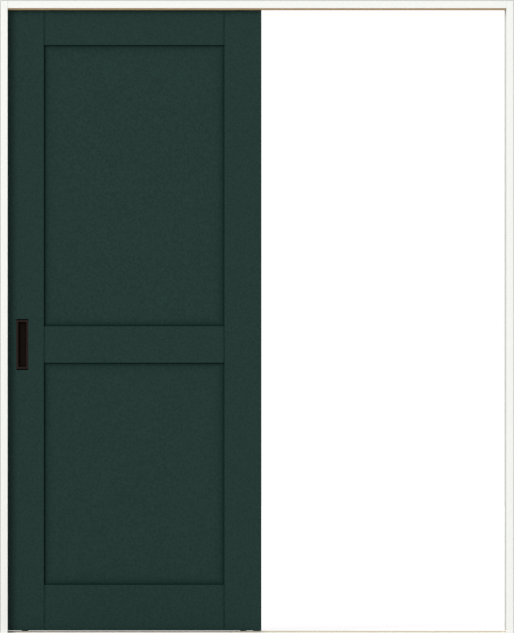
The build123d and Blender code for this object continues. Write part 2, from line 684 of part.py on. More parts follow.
with BuildPart() as dowel:
    Cylinder(DOWEL_RADIUS, DOWEL_LENGTH)
    chamfer(edges().filter_by(GeomType.CIRCLE), DOWEL_TAPER)

with BuildPart() as leaf_dowels:
    with Locations(*dowel_places((TOP_SPAN, MID_SPAN, BOTTOM_SPAN), (LATCH, REAR))):
        add(dowel.part)


def make_shoe(side):
    """A plastic shoe on the leaf's top edge that runs in the channel."""
    with BuildPart() as shoe:
        with BuildSketch(Plane.XY.offset(LEAF_TOP)):
            with Locations((side.roller, LANE_MID)):
                RectangleRounded(SHOE_LENGTH, LANE_WIDTH - 2 * SHOE_FIT, SHOE_CORNER)
        extrude(amount=SHOE_HEIGHT)
        fillet(faces().sort_by(Axis.Z)[-1].edges(), SHOE_ROUND)
        drill_for(side.shoe_screws(), SMALL_SCREW_RADIUS, SMALL_SCREW_HEAD, SHOE_SCREW_LENGTH)
    return shoe.part


latch_top_shoe = make_shoe(LATCH)
rear_top_shoe = make_shoe(REAR)
top_shoe_screws = screw_group(
    LATCH.shoe_screws() + REAR.shoe_screws(),
    SMALL_SCREW_RADIUS,
    SMALL_SCREW_HEAD,
    SHOE_SCREW_LENGTH,
)


def make_roller_case(side):
    """The pressed box of a roller unit, open below, with a hole for its adjuster."""
    with BuildPart() as case:
        with BuildSketch(Plane.XY.offset(PLATE_TOP)):
            with Locations((side.roller, LANE_MID)):
                Rectangle(CASE_LENGTH, CASE_WIDTH)
        extrude(amount=CASE_TOP - PLATE_TOP)
        offset(amount=-CASE_WALL, openings=faces().sort_by(Axis.Z)[0])
        with Locations(side.outward(-CASE_LENGTH / 2, ADJUSTER_HEIGHT)):
            Hole(ADJUSTER_RADIUS + ADJUSTER_FIT, depth=2 * CASE_WALL)
    return case.part


def make_face_plate(side):
    """The plate that closes a roller unit below, let into the leaf's bottom edge."""
    with BuildPart() as plate:
        with BuildSketch(Plane.XY.offset(LEAF_BOTTOM)):
            with Locations((side.roller, LANE_MID)):
                RectangleRounded(PLATE_LENGTH, PLATE_WIDTH, PLATE_CORNER)
                SlotOverall(2 * POCKET_HALF, CHEEK_INSIDE, mode=Mode.SUBTRACT)
        extrude(amount=PLATE_THICKNESS)
        drill_for(side.plate_screws(), SMALL_SCREW_RADIUS, SMALL_SCREW_HEAD, PLATE_SCREW_LENGTH)
    return plate.part


def make_carriage(side):
    """The block that carries the wheel: two cheeks, with a ramp before and behind the wheel."""
    with BuildPart() as carriage:
        with BuildSketch(side.section()):
            with BuildLine():
                Polyline(
                    (-CARRIAGE_END, CARRIAGE_BOTTOM),
                    (CARRIAGE_END, CARRIAGE_BOTTOM),
                    (CARRIAGE_END, RAMP_TOP),
                    (RAMP_START, RAMP_HEIGHT),
                    (RAMP_START, CHEEK_TOP),
                    (-RAMP_START, CHEEK_TOP),
                    (-RAMP_START, RAMP_TOP),
                    (-CARRIAGE_END, RAMP_HEIGHT),
                    close=True,
                )
            make_face()
        extrude(amount=CARRIAGE_WIDTH / 2, both=True)
        with BuildSketch(side.section()):
            with Locations((0, AXLE_HEIGHT)):
                Rectangle(2 * POCKET_HALF, 2 * CASE_LENGTH)
        extrude(amount=CHEEK_INSIDE / 2, both=True, mode=Mode.SUBTRACT)
        with BuildSketch(side.section()):
            with Locations((0, AXLE_HEIGHT)):
                Circle(AXLE_RADIUS + AXLE_PRESS)
        extrude(amount=CARRIAGE_WIDTH, both=True, mode=Mode.SUBTRACT)
    return carriage.part


def ramp_height(x):
    """Height of the wedge's underside over the ramp that lies at x from the unit's middle."""
    start = RAMP_START if x > 0 else -CARRIAGE_END
    return RAMP_HEIGHT + RAMP_SLOPE_SHARE * (x - start) + RAMP_GAP


def make_wedge(side):
    """The sliding block over the wheel: drawn outwards, its two feet let the carriage rise."""
    with BuildPart() as wedge:
        with BuildSketch(side.section()):
            with BuildLine():
                Polyline(
                    (WEDGE_OUTER, ramp_height(WEDGE_OUTER)),
                    (-RAMP_START, ramp_height(-RAMP_START)),
                    (-RAMP_START, BAR_BOTTOM),
                    (WEDGE_FOOT, BAR_BOTTOM),
                    (WEDGE_FOOT, ramp_height(WEDGE_FOOT)),
                    (CARRIAGE_END, ramp_height(CARRIAGE_END)),
                    (CARRIAGE_END, BAR_TOP),
                    (WEDGE_OUTER, BAR_TOP),
                    close=True,
                )
            make_face()
        extrude(amount=CARRIAGE_WIDTH / 2, both=True)
        with Locations(side.outward(WEDGE_OUTER, ADJUSTER_HEIGHT)):
            Hole(ADJUSTER_RADIUS + ADJUSTER_FIT, depth=-RAMP_START - WEDGE_OUTER)
    return wedge.part


def make_adjuster(side):
    """The screw that draws the wedge, captive in the case's end wall."""
    head_face = -CASE_LENGTH / 2 - SLIDE_FIT
    head_place = side.outward(head_face, ADJUSTER_HEIGHT)
    with BuildPart() as adjuster:
        with BuildSketch(head_place):
            Circle(ADJUSTER_HEAD_RADIUS)
        extrude(amount=ADJUSTER_HEAD_LENGTH)
        with BuildSketch(head_place.offset(ADJUSTER_HEAD_LENGTH)):
            RegularPolygon(ADJUSTER_SOCKET / 2, 6, major_radius=False)
        extrude(amount=-ADJUSTER_SOCKET_DEPTH, mode=Mode.SUBTRACT)
        with BuildSketch(head_place):
            Circle(ADJUSTER_RADIUS)
        extrude(amount=head_face + RAMP_START + WEDGE_TRAVEL + ADJUSTER_TIP_GAP)
        with BuildSketch(side.outward(-COLLAR_END, ADJUSTER_HEIGHT)):
            Circle(ADJUSTER_COLLAR_RADIUS)
        extrude(amount=ADJUSTER_COLLAR)
    return adjuster.part


def make_axle(side):
    """The pin that the wheel turns on, pressed into the carriage's cheeks."""
    with BuildPart() as axle:
        with BuildSketch(side.section()):
            with Locations((0, AXLE_HEIGHT)):
                Circle(AXLE_RADIUS)
        extrude(amount=CARRIAGE_WIDTH / 2, both=True)
    return axle.part


def make_wheel(side):
    """The wheel: a hub, a dished web and a rim with a rounded nose that fits the rail's groove."""
    place = Plane(origin=(side.roller, LANE_MID, AXLE_HEIGHT), x_dir=(0, 1, 0), z_dir=(1, 0, 0))
    nose_middle = WHEEL_RADIUS - WHEEL_NOSE
    nose_end = (WHEEL_NOSE * cos(GROOVE_HALF), nose_middle + WHEEL_NOSE * sin(GROOVE_HALF))
    flank_end = WHEEL_RADIUS + NOSE_RISE - WHEEL_WIDTH / 2 / tan(GROOVE_HALF)
    with BuildPart() as wheel:
        with BuildSketch(place):
            with BuildLine():
                CenterArc((0, nose_middle), WHEEL_NOSE, GROOVE_ANGLE / 2, 90 - GROOVE_ANGLE / 2)
                Polyline(
                    nose_end,
                    (WHEEL_WIDTH / 2, flank_end),
                    (WHEEL_WIDTH / 2, WHEEL_DISH_RADIUS),
                    (WHEEL_DISH_WIDTH / 2, WHEEL_DISH_RADIUS),
                    (WHEEL_DISH_WIDTH / 2, HUB_RADIUS),
                    (HUB_WIDTH / 2, HUB_RADIUS),
                    (HUB_WIDTH / 2, AXLE_RADIUS + AXLE_FIT),
                    (0, AXLE_RADIUS + AXLE_FIT),
                )
                mirror(about=Plane.YZ)
            make_face()
        revolve(axis=Axis((side.roller, LANE_MID, AXLE_HEIGHT), (0, 1, 0)))
    return wheel.part


roller_plate_screws = screw_group(
    LATCH.plate_screws() + REAR.plate_screws(),
    SMALL_SCREW_RADIUS,
    SMALL_SCREW_HEAD,
    PLATE_SCREW_LENGTH,
)

PIECES = {
    "latch_jamb": latch_jamb.part,
    "rear_jamb": rear_jamb.part,
    "head": head.part,
    "mullion": mullion.part,
    "frame_joint_screws": frame_joint_screws,
    "top_guide_rail": top_guide_rail.part,
    "guide_rail_screws": guide_rail_screws,
    "open_stop": open_stop.part,
    "open_stop_pad": open_stop_pad.part,
    "open_stop_screw": open_stop_screw,
    "floor_rail": floor_rail.part,
    "latch_seal": latch_seal.part,
    "rear_buffer": rear_buffer.part,
    "latch_stile": latch_stile,
    "rear_stile": rear_stile,
    "top_rail": top_rail,
    "mid_rail": mid_rail,
    "bottom_rail": bottom_rail,
    "upper_panel": upper_panel,
    "lower_panel": lower_panel,
    "leaf_dowels": leaf_dowels.part,
    "front_pull": front_pull,
    "back_pull": back_pull,
    "latch_top_shoe": latch_top_shoe,
    "rear_top_shoe": rear_top_shoe,
    "top_shoe_screws": top_shoe_screws,
    "roller_plate_screws": roller_plate_screws,
}
for side_name, leaf_side in (("latch", LATCH), ("rear", REAR)):
    PIECES[f"{side_name}_roller_case"] = make_roller_case(leaf_side)
    PIECES[f"{side_name}_face_plate"] = make_face_plate(leaf_side)
    PIECES[f"{side_name}_carriage"] = make_carriage(leaf_side)
    PIECES[f"{side_name}_wedge"] = make_wedge(leaf_side)
    PIECES[f"{side_name}_adjuster"] = make_adjuster(leaf_side)
    PIECES[f"{side_name}_axle"] = make_axle(leaf_side)
    PIECES[f"{side_name}_wheel"] = make_wheel(leaf_side)

for piece_name, piece in PIECES.items():
    piece.label = piece_name
    export_step(piece, f"parts/{piece_name}.step")
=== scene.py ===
"""Looks of an interior sliding door with its frame: finishes, fine hardware, studio and camera.

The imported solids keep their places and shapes. This script dresses them, and models the flush pulls,
the screws and the dowels anew in their seats, in metres, in the same axes: +X right, -Y front, +Z up.
"""

import json
import logging
from dataclasses import dataclass, field
from enum import Enum
from math import atan2, exp, pi, radians
from typing import Any, Callable, List, Mapping, Optional, Sequence, Tuple, Union

import bmesh
import bpy
from mathutils import Matrix, Vector

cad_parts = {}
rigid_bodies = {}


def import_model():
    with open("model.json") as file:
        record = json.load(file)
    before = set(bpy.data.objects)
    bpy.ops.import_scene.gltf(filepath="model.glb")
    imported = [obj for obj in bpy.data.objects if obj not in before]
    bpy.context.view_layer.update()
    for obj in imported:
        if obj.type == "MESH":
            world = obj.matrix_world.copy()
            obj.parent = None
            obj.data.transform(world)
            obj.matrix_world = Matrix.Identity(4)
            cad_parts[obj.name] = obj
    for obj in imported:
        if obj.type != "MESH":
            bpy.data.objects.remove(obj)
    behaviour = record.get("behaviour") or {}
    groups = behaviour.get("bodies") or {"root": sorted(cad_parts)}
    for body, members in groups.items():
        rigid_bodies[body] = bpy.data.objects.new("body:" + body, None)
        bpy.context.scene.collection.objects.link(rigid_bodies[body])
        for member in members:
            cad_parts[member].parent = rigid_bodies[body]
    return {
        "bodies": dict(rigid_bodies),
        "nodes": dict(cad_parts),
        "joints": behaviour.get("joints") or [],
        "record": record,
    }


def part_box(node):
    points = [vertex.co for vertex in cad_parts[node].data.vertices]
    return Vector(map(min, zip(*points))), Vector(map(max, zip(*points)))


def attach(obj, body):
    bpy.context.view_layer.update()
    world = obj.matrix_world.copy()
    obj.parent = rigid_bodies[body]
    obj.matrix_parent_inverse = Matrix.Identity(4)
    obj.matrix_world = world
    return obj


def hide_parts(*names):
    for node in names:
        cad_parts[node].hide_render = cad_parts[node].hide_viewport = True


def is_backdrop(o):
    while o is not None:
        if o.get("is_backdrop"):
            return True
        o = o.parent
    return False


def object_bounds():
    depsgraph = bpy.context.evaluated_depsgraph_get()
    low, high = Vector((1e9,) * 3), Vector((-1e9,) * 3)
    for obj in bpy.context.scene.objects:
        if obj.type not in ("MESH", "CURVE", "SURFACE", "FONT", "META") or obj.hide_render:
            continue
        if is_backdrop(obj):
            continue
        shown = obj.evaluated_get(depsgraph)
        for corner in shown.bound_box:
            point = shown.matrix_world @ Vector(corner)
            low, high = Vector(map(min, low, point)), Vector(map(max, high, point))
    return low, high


log = logging.getLogger("sliding_door")

Colour = Tuple[float, float, float, float]
Triple = Tuple[float, float, float]
Span = Tuple[float, float]
Operand = Union["Field", float]
Test = Callable[[Vector, Vector], bool]

MM = 0.001
PHOTO_HEIGHT_PX = 633
WHITE: Colour = (1.0, 1.0, 1.0, 1.0)
BLACK: Colour = (0.0, 0.0, 0.0, 1.0)

# Points nearer to each other than this are merged into one.
MERGE = 0.001 * MM
# An edge nearer to a plane than this lies in it.
IN_PLANE = 0.05 * MM
# A direction whose share along an axis is larger than this runs along it.
ALONG = 0.9
# A point nearer to a fastener's axis than this share of the head's radius is the middle of an end.
AXIS_SHARE = 1 / 3
# The level that a noise varies around.
MEAN = 0.5
# The parts of a noise's range that are spread from 0 to 1.
WIDE: Span = (0.3, 0.7)
NARROW: Span = (0.35, 0.65)


def tone(red: float, green: float, blue: float) -> Colour:
    """Linear colour of a display colour.

    Args:
        red, green, blue: display levels from 0 to 255.

    Returns:
        The colour that the shaders take, with full alpha.
    """
    levels = [level / 255 for level in (red, green, blue)]
    bent = [v / 12.92 if v <= 0.04045 else ((v + 0.055) / 1.055) ** 2.4 for v in levels]
    return (bent[0], bent[1], bent[2], 1.0)


def scaled(colour: Colour, factor: float) -> Colour:
    """A colour made darker or lighter by a factor, up to full white."""
    red, green, blue = (min(level * factor, 1.0) for level in colour[:3])
    return (red, green, blue, 1.0)


def corners(node: str) -> Tuple[Triple, Triple]:
    """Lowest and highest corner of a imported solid, as plain triples."""
    low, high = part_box(node)
    return tuple(low), tuple(high)


def pick_only(*objects: bpy.types.Object) -> None:
    """Select these objects and nothing else.

    Args:
        objects: the objects. The first one becomes the active one.
    """
    bpy.ops.object.select_all(action="DESELECT")
    for obj in objects:
        obj.select_set(True)
    if objects:
        bpy.context.view_layer.objects.active = objects[0]


class Field:
    """A number that changes over a surface: an output socket that Python operators extend."""

    def __init__(self, graph: "Graph", socket: bpy.types.NodeSocket) -> None:
        """Keep the graph and the socket that gives the number."""
        self.graph = graph
        self.socket = socket

    def _join(self, operation: str, left: Operand, right: Operand) -> "Field":
        """Result of one Math node on two inputs, in order."""
        return self.graph.add("ShaderNodeMath", {"operation": operation}, {0: left, 1: right})

    def __add__(self, other: Operand) -> "Field":
        """Sum with a field or a number."""
        return self._join("ADD", self, other)

    def __radd__(self, other: Operand) -> "Field":
        """Sum with the field on the right."""
        return self._join("ADD", other, self)

    def __sub__(self, other: Operand) -> "Field":
        """Difference from a field or a number."""
        return self._join("SUBTRACT", self, other)

    def __rsub__(self, other: Operand) -> "Field":
        """Difference with the field on the right."""
        return self._join("SUBTRACT", other, self)

    def __mul__(self, other: Operand) -> "Field":
        """Product with a field or a number."""
        return self._join("MULTIPLY", self, other)

    def __rmul__(self, other: Operand) -> "Field":
        """Product with the field on the right."""
        return self._join("MULTIPLY", other, self)

    def __abs__(self) -> "Field":
        """Size of the number, without its sign."""
        return self._join("ABSOLUTE", self, 0.0)

    def least(self, other: Operand) -> "Field":
        """The smaller of this and another number."""
        return self._join("MINIMUM", self, other)

    def most(self, other: Operand) -> "Field":
        """The larger of this and another number."""
        return self._join("MAXIMUM", self, other)

    def within(self, low: float, high: float) -> "Field":
        """Distance from the nearer of two limits, below nought outside them."""
        return (self - low).least(high - self)

    def fade(self, reach: float) -> "Field":
        """Fading away of a distance: 1 at none, and about a third at the given reach."""
        return self._join("POWER", exp(-1), self.most(0.0) * (1 / reach))

    def rise(self, low: float, high: float) -> "Field":
        """Smooth step of this number.

        Args:
            low: where the step is still 0.
            high: where it has reached 1.

        Returns:
            The step, from 0 to 1.
        """
        return self.graph.add(
            "ShaderNodeMapRange",
            {"interpolation_type": "SMOOTHSTEP"},
            {"Value": self, "From Min": low, "From Max": high},
        )


class Graph:
    """The node tree of one material or world, built up node by node."""

    def __init__(self, owner: Union[bpy.types.Material, bpy.types.World]) -> None:
        """Empty the owner's tree, ready for new nodes.

        Args:
            owner: the material or the world.
        """
        owner.use_nodes = True
        self.tree = owner.node_tree
        self.tree.nodes.clear()

    def add(
        self,
        kind: str,
        settings: Optional[Mapping[str, Any]] = None,
        inputs: Optional[Mapping[Union[int, str], Any]] = None,
        output: Union[int, str] = 0,
    ) -> Field:
        """Add any node.

        Args:
            kind: the node's type.
            settings: its own properties, set first.
            inputs: values or fields for its sockets, by name or number.
            output: which of its results to give back.

        Returns:
            The chosen result.
        """
        node = self.tree.nodes.new(kind)
        for key, value in (settings or {}).items():
            setattr(node, key, value)
        for key, value in (inputs or {}).items():
            if isinstance(value, Field):
                self.tree.links.new(value.socket, node.inputs[key])
            else:
                node.inputs[key].default_value = value
        return Field(self, node.outputs[output])

    def place(self) -> Field:
        """The point of the surface, in the object's own coordinates."""
        return self.add("ShaderNodeTexCoord", output="Object")

    def axes(self) -> Tuple[Field, Field, Field]:
        """Split the point of the surface.

        Returns:
            Its x, y and z, each as a number.
        """
        split = self.add("ShaderNodeSeparateXYZ", None, {0: self.place()})
        x, y, z = (Field(self, socket) for socket in split.socket.node.outputs)
        return x, y, z

    def noise(self, pitch: float, detail: float = 2.0, stretch: Triple = (1, 1, 1)) -> Field:
        """Soft noise over the surface.

        Args:
            pitch: length of one patch, in metres.
            detail: number of finer layers.
            stretch: how many times longer the patches are along each axis.

        Returns:
            The noise, around one half.
        """
        shrink = tuple(1 / times for times in stretch)
        point = self.add("ShaderNodeMapping", None, {"Vector": self.place(), "Scale": shrink})
        return self.add(
            "ShaderNodeTexNoise", None, {"Vector": point, "Scale": 1 / pitch, "Detail": detail}
        )

    def blend(self, factor: Operand, first: Any, second: Any) -> Field:
        """Mix of two colours.

        Args:
            factor: share of the second colour.
            first, second: the colours.

        Returns:
            The mixed colour.
        """
        return self.add(
            "ShaderNodeMix", {"data_type": "RGBA"}, {0: factor, 6: first, 7: second}, 2
        )

    def bump(self, height: Field, depth: float) -> Field:
        """Normal of a surface with fine relief, of which a height of 1 has the given depth."""
        return self.add("ShaderNodeBump", None, {"Height": height, "Distance": depth})

    def principled(self, **sockets: Any) -> Field:
        """Add the main surface shader.

        Args:
            sockets: values or fields, by the sockets' names in small letters with underscores.

        Returns:
            The shader.
        """
        named = {
            key.replace("_", " ").title().replace("Ior", "IOR"): value
            for key, value in sockets.items()
        }
        return self.add("ShaderNodeBsdfPrincipled", None, named)

    def close(self, shader: Field, kind: str = "ShaderNodeOutputMaterial") -> None:
        """Lead a shader to the tree's output node."""
        node = self.tree.nodes.new(kind)
        self.tree.links.new(shader.socket, node.inputs["Surface"])


class Run(Enum):
    """Which way a board or a brushed surface runs, as the number of the axis along it."""

    ACROSS = 0
    UPRIGHT = 2

    def stretch(self, times: float) -> Triple:
        """Stretch of a pattern that is so many times longer this way than the others."""
        return tuple(times if axis == self.value else 1.0 for axis in range(3))


@dataclass(frozen=True)
class Finish:
    """A surface finish. Each kind of finish says how it is shaded."""

    name: str
    colour: Colour
    roughness: float

    def material(self) -> bpy.types.Material:
        """Make the finish.

        Returns:
            The new material.
        """
        made = bpy.data.materials.new(self.name)
        graph = Graph(made)
        graph.close(self.shade(graph))
        return made

    def shade(self, graph: Graph) -> Field:
        """Build the finish's nodes in an empty tree, and give back the shader."""
        raise NotImplementedError


@dataclass(frozen=True)
class EdgeShade:
    """How far and how strongly painted shade darkens a board towards an edge."""

    reach: float
    share: float

    def mask(self, distance: Field) -> Field:
        """Share of the painted shade's colour at a distance from the edge."""
        return distance.fade(self.reach) * self.share


@dataclass(frozen=True)
class WrappedBoard(Finish):
    """Fibreboard wrapped in matt foil with a fine grain, with painted shade towards the member's
    edges.
    """

    low: Triple = (0, 0, 0)
    high: Triple = (1, 1, 1)
    run: Run = Run.UPRIGHT
    mottle: float = 0.155
    sheen_level: float = 0.03
    # Colour that the painted shade blends to towards the edges, and how far and how strongly it
    # darkens the upright and the level edges.
    edge_colour: Colour = BLACK
    sides: EdgeShade = EdgeShade(0.5 * MM, 0.3)
    ends: EdgeShade = EdgeShade(0.5 * MM, 0.3)
    face_depth: float = 2 * MM
    grain_pitch: float = 5.6 * MM
    grain_stretch: float = 1.15
    grain_detail: float = 4.0
    fine_pitch: float = 1.12 * MM
    fine_detail: float = 3.0
    cloud_pitch: float = 120 * MM
    shares: Triple = (0.6, 0.36, 0.04)
    relief: float = 0.05 * MM
    relief_shares: Span = (0.6, 0.4)
    dulling: float = 0.2

    def edge_mask(self, graph: Graph) -> Field:
        """Where painted shade darkens the front and back faces towards their edges.

        Args:
            graph: the material's tree.

        Returns:
            The share of the painted shade's colour.
        """
        x, y, z = graph.axes()
        across = self.sides.mask(x.within(self.low[0], self.high[0]))
        along = self.ends.mask(z.within(self.low[2], self.high[2]))
        on_face = 1 - y.within(self.low[1], self.high[1]).rise(0.0, self.face_depth)
        return across.most(along) * on_face

    def shade(self, graph: Graph) -> Field:
        """Build the foil's nodes.

        Args:
            graph: the material's empty tree.

        Returns:
            The shader.
        """
        stretch = self.run.stretch(self.grain_stretch)
        coarse = graph.noise(self.grain_pitch, self.grain_detail, stretch)
        fine = graph.noise(self.fine_pitch, self.fine_detail)
        cloud = graph.noise(self.cloud_pitch)
        grain = coarse * self.shares[0] + fine * self.shares[1] + cloud * self.shares[2]
        darker, lighter = (scaled(self.colour, 1 + s * self.mottle) for s in (-1, 1))
        tinted = graph.blend(grain.rise(*NARROW), darker, lighter)
        height = coarse * self.relief_shares[0] + fine * self.relief_shares[1]
        return graph.principled(
            # Painted shade: the foil blends towards the edge shade colour near the member's edges.
            base_color=graph.blend(self.edge_mask(graph), tinted, self.edge_colour),
            roughness=self.roughness + (fine - MEAN) * self.dulling,
            specular_ior_level=self.sheen_level,
            normal=graph.bump(height, self.relief),
        )


@dataclass(frozen=True)
class FrameBoard(WrappedBoard):
    """Wrapped board of the fixed frame.

    A painted grey stripe of shade runs along the outer edges of its front and back faces. The sides
    against the wall are bare fibreboard behind a narrow return of the foil.
    """

    outer_x: float = 1.0
    outer_top: float = 1.0
    core_colour: Colour = tone(196, 170, 132)
    core_dark: float = 0.8
    core_dulling: float = 0.3
    dust_pitch: float = 0.8 * MM
    skin: Span = (0.02 * MM, 0.2 * MM)
    return_width: float = 14 * MM
    # Width, dark core and grey of the painted shade along the outer edges.
    line_width: float = 3.4 * MM
    line_core: float = 0.6
    line_colour: Colour = tone(186, 187, 182)
    soft_edge: float = 1 * MM
    grain_relief: float = 0.5

    def shade(self, graph: Graph) -> Field:
        """Build the nodes of the foil, of its painted shade and of the bare sides.

        Args:
            graph: the material's empty tree.

        Returns:
            The shader.
        """
        x, y, z = graph.axes()
        stretch = self.run.stretch(self.grain_stretch)
        fine = graph.noise(self.grain_pitch, self.fine_detail, stretch)
        dust = graph.noise(self.dust_pitch, self.fine_detail)
        side = (self.outer_x - abs(x)).least(self.outer_top - z)
        depth = y.within(self.low[1], self.high[1])
        # Painted shade: a grey stripe along the outer edges of the front and back faces.
        at_shade_line = 1 - side.rise(self.line_core * self.line_width, self.line_width)
        line = at_shade_line * (1 - depth.rise(0.0, self.soft_edge))
        past_return = depth.rise(self.return_width, self.return_width + self.soft_edge)
        bare = (1 - side.rise(*self.skin)) * past_return
        foil = graph.blend(fine.rise(*WIDE), scaled(self.colour, 1 - self.mottle), self.colour)
        edge_shaded = graph.blend(self.edge_mask(graph), foil, self.edge_colour)
        shade_lined = graph.blend(line, edge_shaded, self.line_colour)
        dark_core = scaled(self.core_colour, self.core_dark)
        core = graph.blend(dust.rise(*WIDE), dark_core, self.core_colour)
        return graph.principled(
            base_color=graph.blend(bare, shade_lined, core),
            roughness=self.roughness + bare * self.core_dulling,
            specular_ior_level=self.sheen_level,
            normal=graph.bump(fine * self.grain_relief + dust * bare, self.relief),
        )


@dataclass(frozen=True)
class SatinMetal(Finish):
    """Coated or plated metal with fine brushed lines along one way."""

    metallic: float = 0.0
    run: Run = Run.UPRIGHT
    line_pitch: float = 0.35 * MM
    line_stretch: float = 40.0
    line_share: float = 0.7
    haze_pitch: float = 9 * MM
    sheen_level: float = 0.5
    contrast: float = 0.12
    dulling: float = 0.15
    relief: float = 0.01 * MM

    def base(self, graph: Graph, lines: Field, haze: Field) -> Field:
        """Colour of the metal, a little brighter along its brushed lines.

        Args:
            graph: the material's tree.
            lines, haze: the brushed lines and the slow change of tone.

        Returns:
            The colour.
        """
        dull, bright = (scaled(self.colour, 1 + s * self.contrast) for s in (-1, 1))
        pattern = lines * self.line_share + haze * (1 - self.line_share)
        return graph.blend(pattern.rise(*WIDE), dull, bright)

    def shade(self, graph: Graph) -> Field:
        """Build the metal's nodes.

        Args:
            graph: the material's empty tree.

        Returns:
            The shader.
        """
        lines = graph.noise(self.line_pitch, stretch=self.run.stretch(self.line_stretch))
        haze = graph.noise(self.haze_pitch)
        return graph.principled(
            base_color=self.base(graph, lines, haze),
            metallic=self.metallic,
            roughness=self.roughness + (lines - MEAN) * self.dulling,
            specular_ior_level=self.sheen_level,
            normal=graph.bump(lines, self.relief),
        )


@dataclass(frozen=True)
class RailMetal(SatinMetal):
    """Coated rail: pale flanks, and a champagne crest under the wheels."""

    crest: float = 0.0
    crest_depth: float = 2.0 * MM
    crest_blur: float = 0.2 * MM
    crest_colour: Colour = BLACK

    def base(self, graph: Graph, lines: Field, haze: Field) -> Field:
        """Colour of the flanks, with the crest over it.

        Args:
            graph: the material's tree.
            lines, haze: the brushed lines and the slow change of tone.

        Returns:
            The colour.
        """
        height = graph.axes()[2] - (self.crest - self.crest_depth)
        upper = height.rise(-self.crest_blur, self.crest_blur)
        return graph.blend(upper, super().base(graph, lines, haze), self.crest_colour)


@dataclass(frozen=True)
class PullMetal(SatinMetal):
    """Dark bronze, with painted shade that turns the pull's recess almost black, most of all along its
    walls.
    """

    low: Triple = (0, 0, 0)
    high: Triple = (1, 1, 1)
    rim: float = 0.0
    sink: Span = (0.6 * MM, 2 * MM)
    brink: Span = (-0.6 * MM, 0.2 * MM)
    # Reach and colours of the painted shade in the recess and along its walls.
    corner_reach: float = 3 * MM
    lining: Colour = tone(20, 12, 8)
    soot: Colour = tone(2, 1, 1)

    def base(self, graph: Graph, lines: Field, haze: Field) -> Field:
        """Colour of the rim, with painted shade in the recess that is darkest in its corners.

        Args:
            graph: the material's tree.
            lines, haze: the brushed lines and the slow change of tone.

        Returns:
            The colour.
        """
        x, y, z = graph.axes()
        wall = x.within(self.low[0], self.high[0]).least(z.within(self.low[2], self.high[2]))
        sunk = abs(y - self.rim).rise(*self.sink) * wall.rise(*self.brink)
        # Painted shade: the recess is darker, and darkest next to its walls.
        inside = graph.blend(wall.fade(self.corner_reach), self.lining, self.soot)
        return graph.blend(sunk, super().base(graph, lines, haze), inside)


@dataclass(frozen=True)
class Moulded(Finish):
    """Moulded plastic or rubber with a fine pebbled skin."""

    sheen_level: float = 0.4
    pebble: float = 0.6 * MM
    pebble_share: float = 0.4
    flow_pitch: float = 25 * MM
    dark: float = 0.93
    dulling: float = 0.12
    relief: float = 0.02 * MM

    def shade(self, graph: Graph) -> Field:
        """Build the plastic's nodes.

        Args:
            graph: the material's empty tree.

        Returns:
            The shader.
        """
        skin = graph.noise(self.pebble)
        flow = graph.noise(self.flow_pitch)
        pattern = skin * self.pebble_share + flow * (1 - self.pebble_share)
        return graph.principled(
            base_color=graph.blend(
                pattern.rise(*WIDE), scaled(self.colour, self.dark), self.colour
            ),
            roughness=self.roughness + (flow - MEAN) * self.dulling,
            specular_ior_level=self.sheen_level,
            normal=graph.bump(skin, self.relief),
        )


@dataclass(frozen=True)
class PlainWood(Finish):
    """Bare close-grained wood, with its grain across the leaf."""

    late_colour: Colour = tone(176, 132, 92)
    grain_pitch: float = 0.9 * MM
    grain_stretch: float = 14.0
    grain_detail: float = 3.0
    relief: float = 0.05 * MM

    def shade(self, graph: Graph) -> Field:
        """Build the wood's nodes.

        Args:
            graph: the material's empty tree.

        Returns:
            The shader.
        """
        stretch = Run.ACROSS.stretch(self.grain_stretch)
        fibre = graph.noise(self.grain_pitch, self.grain_detail, stretch)
        return graph.principled(
            base_color=graph.blend(fibre.rise(*NARROW), self.late_colour, self.colour),
            roughness=self.roughness,
            normal=graph.bump(fibre, self.relief),
        )


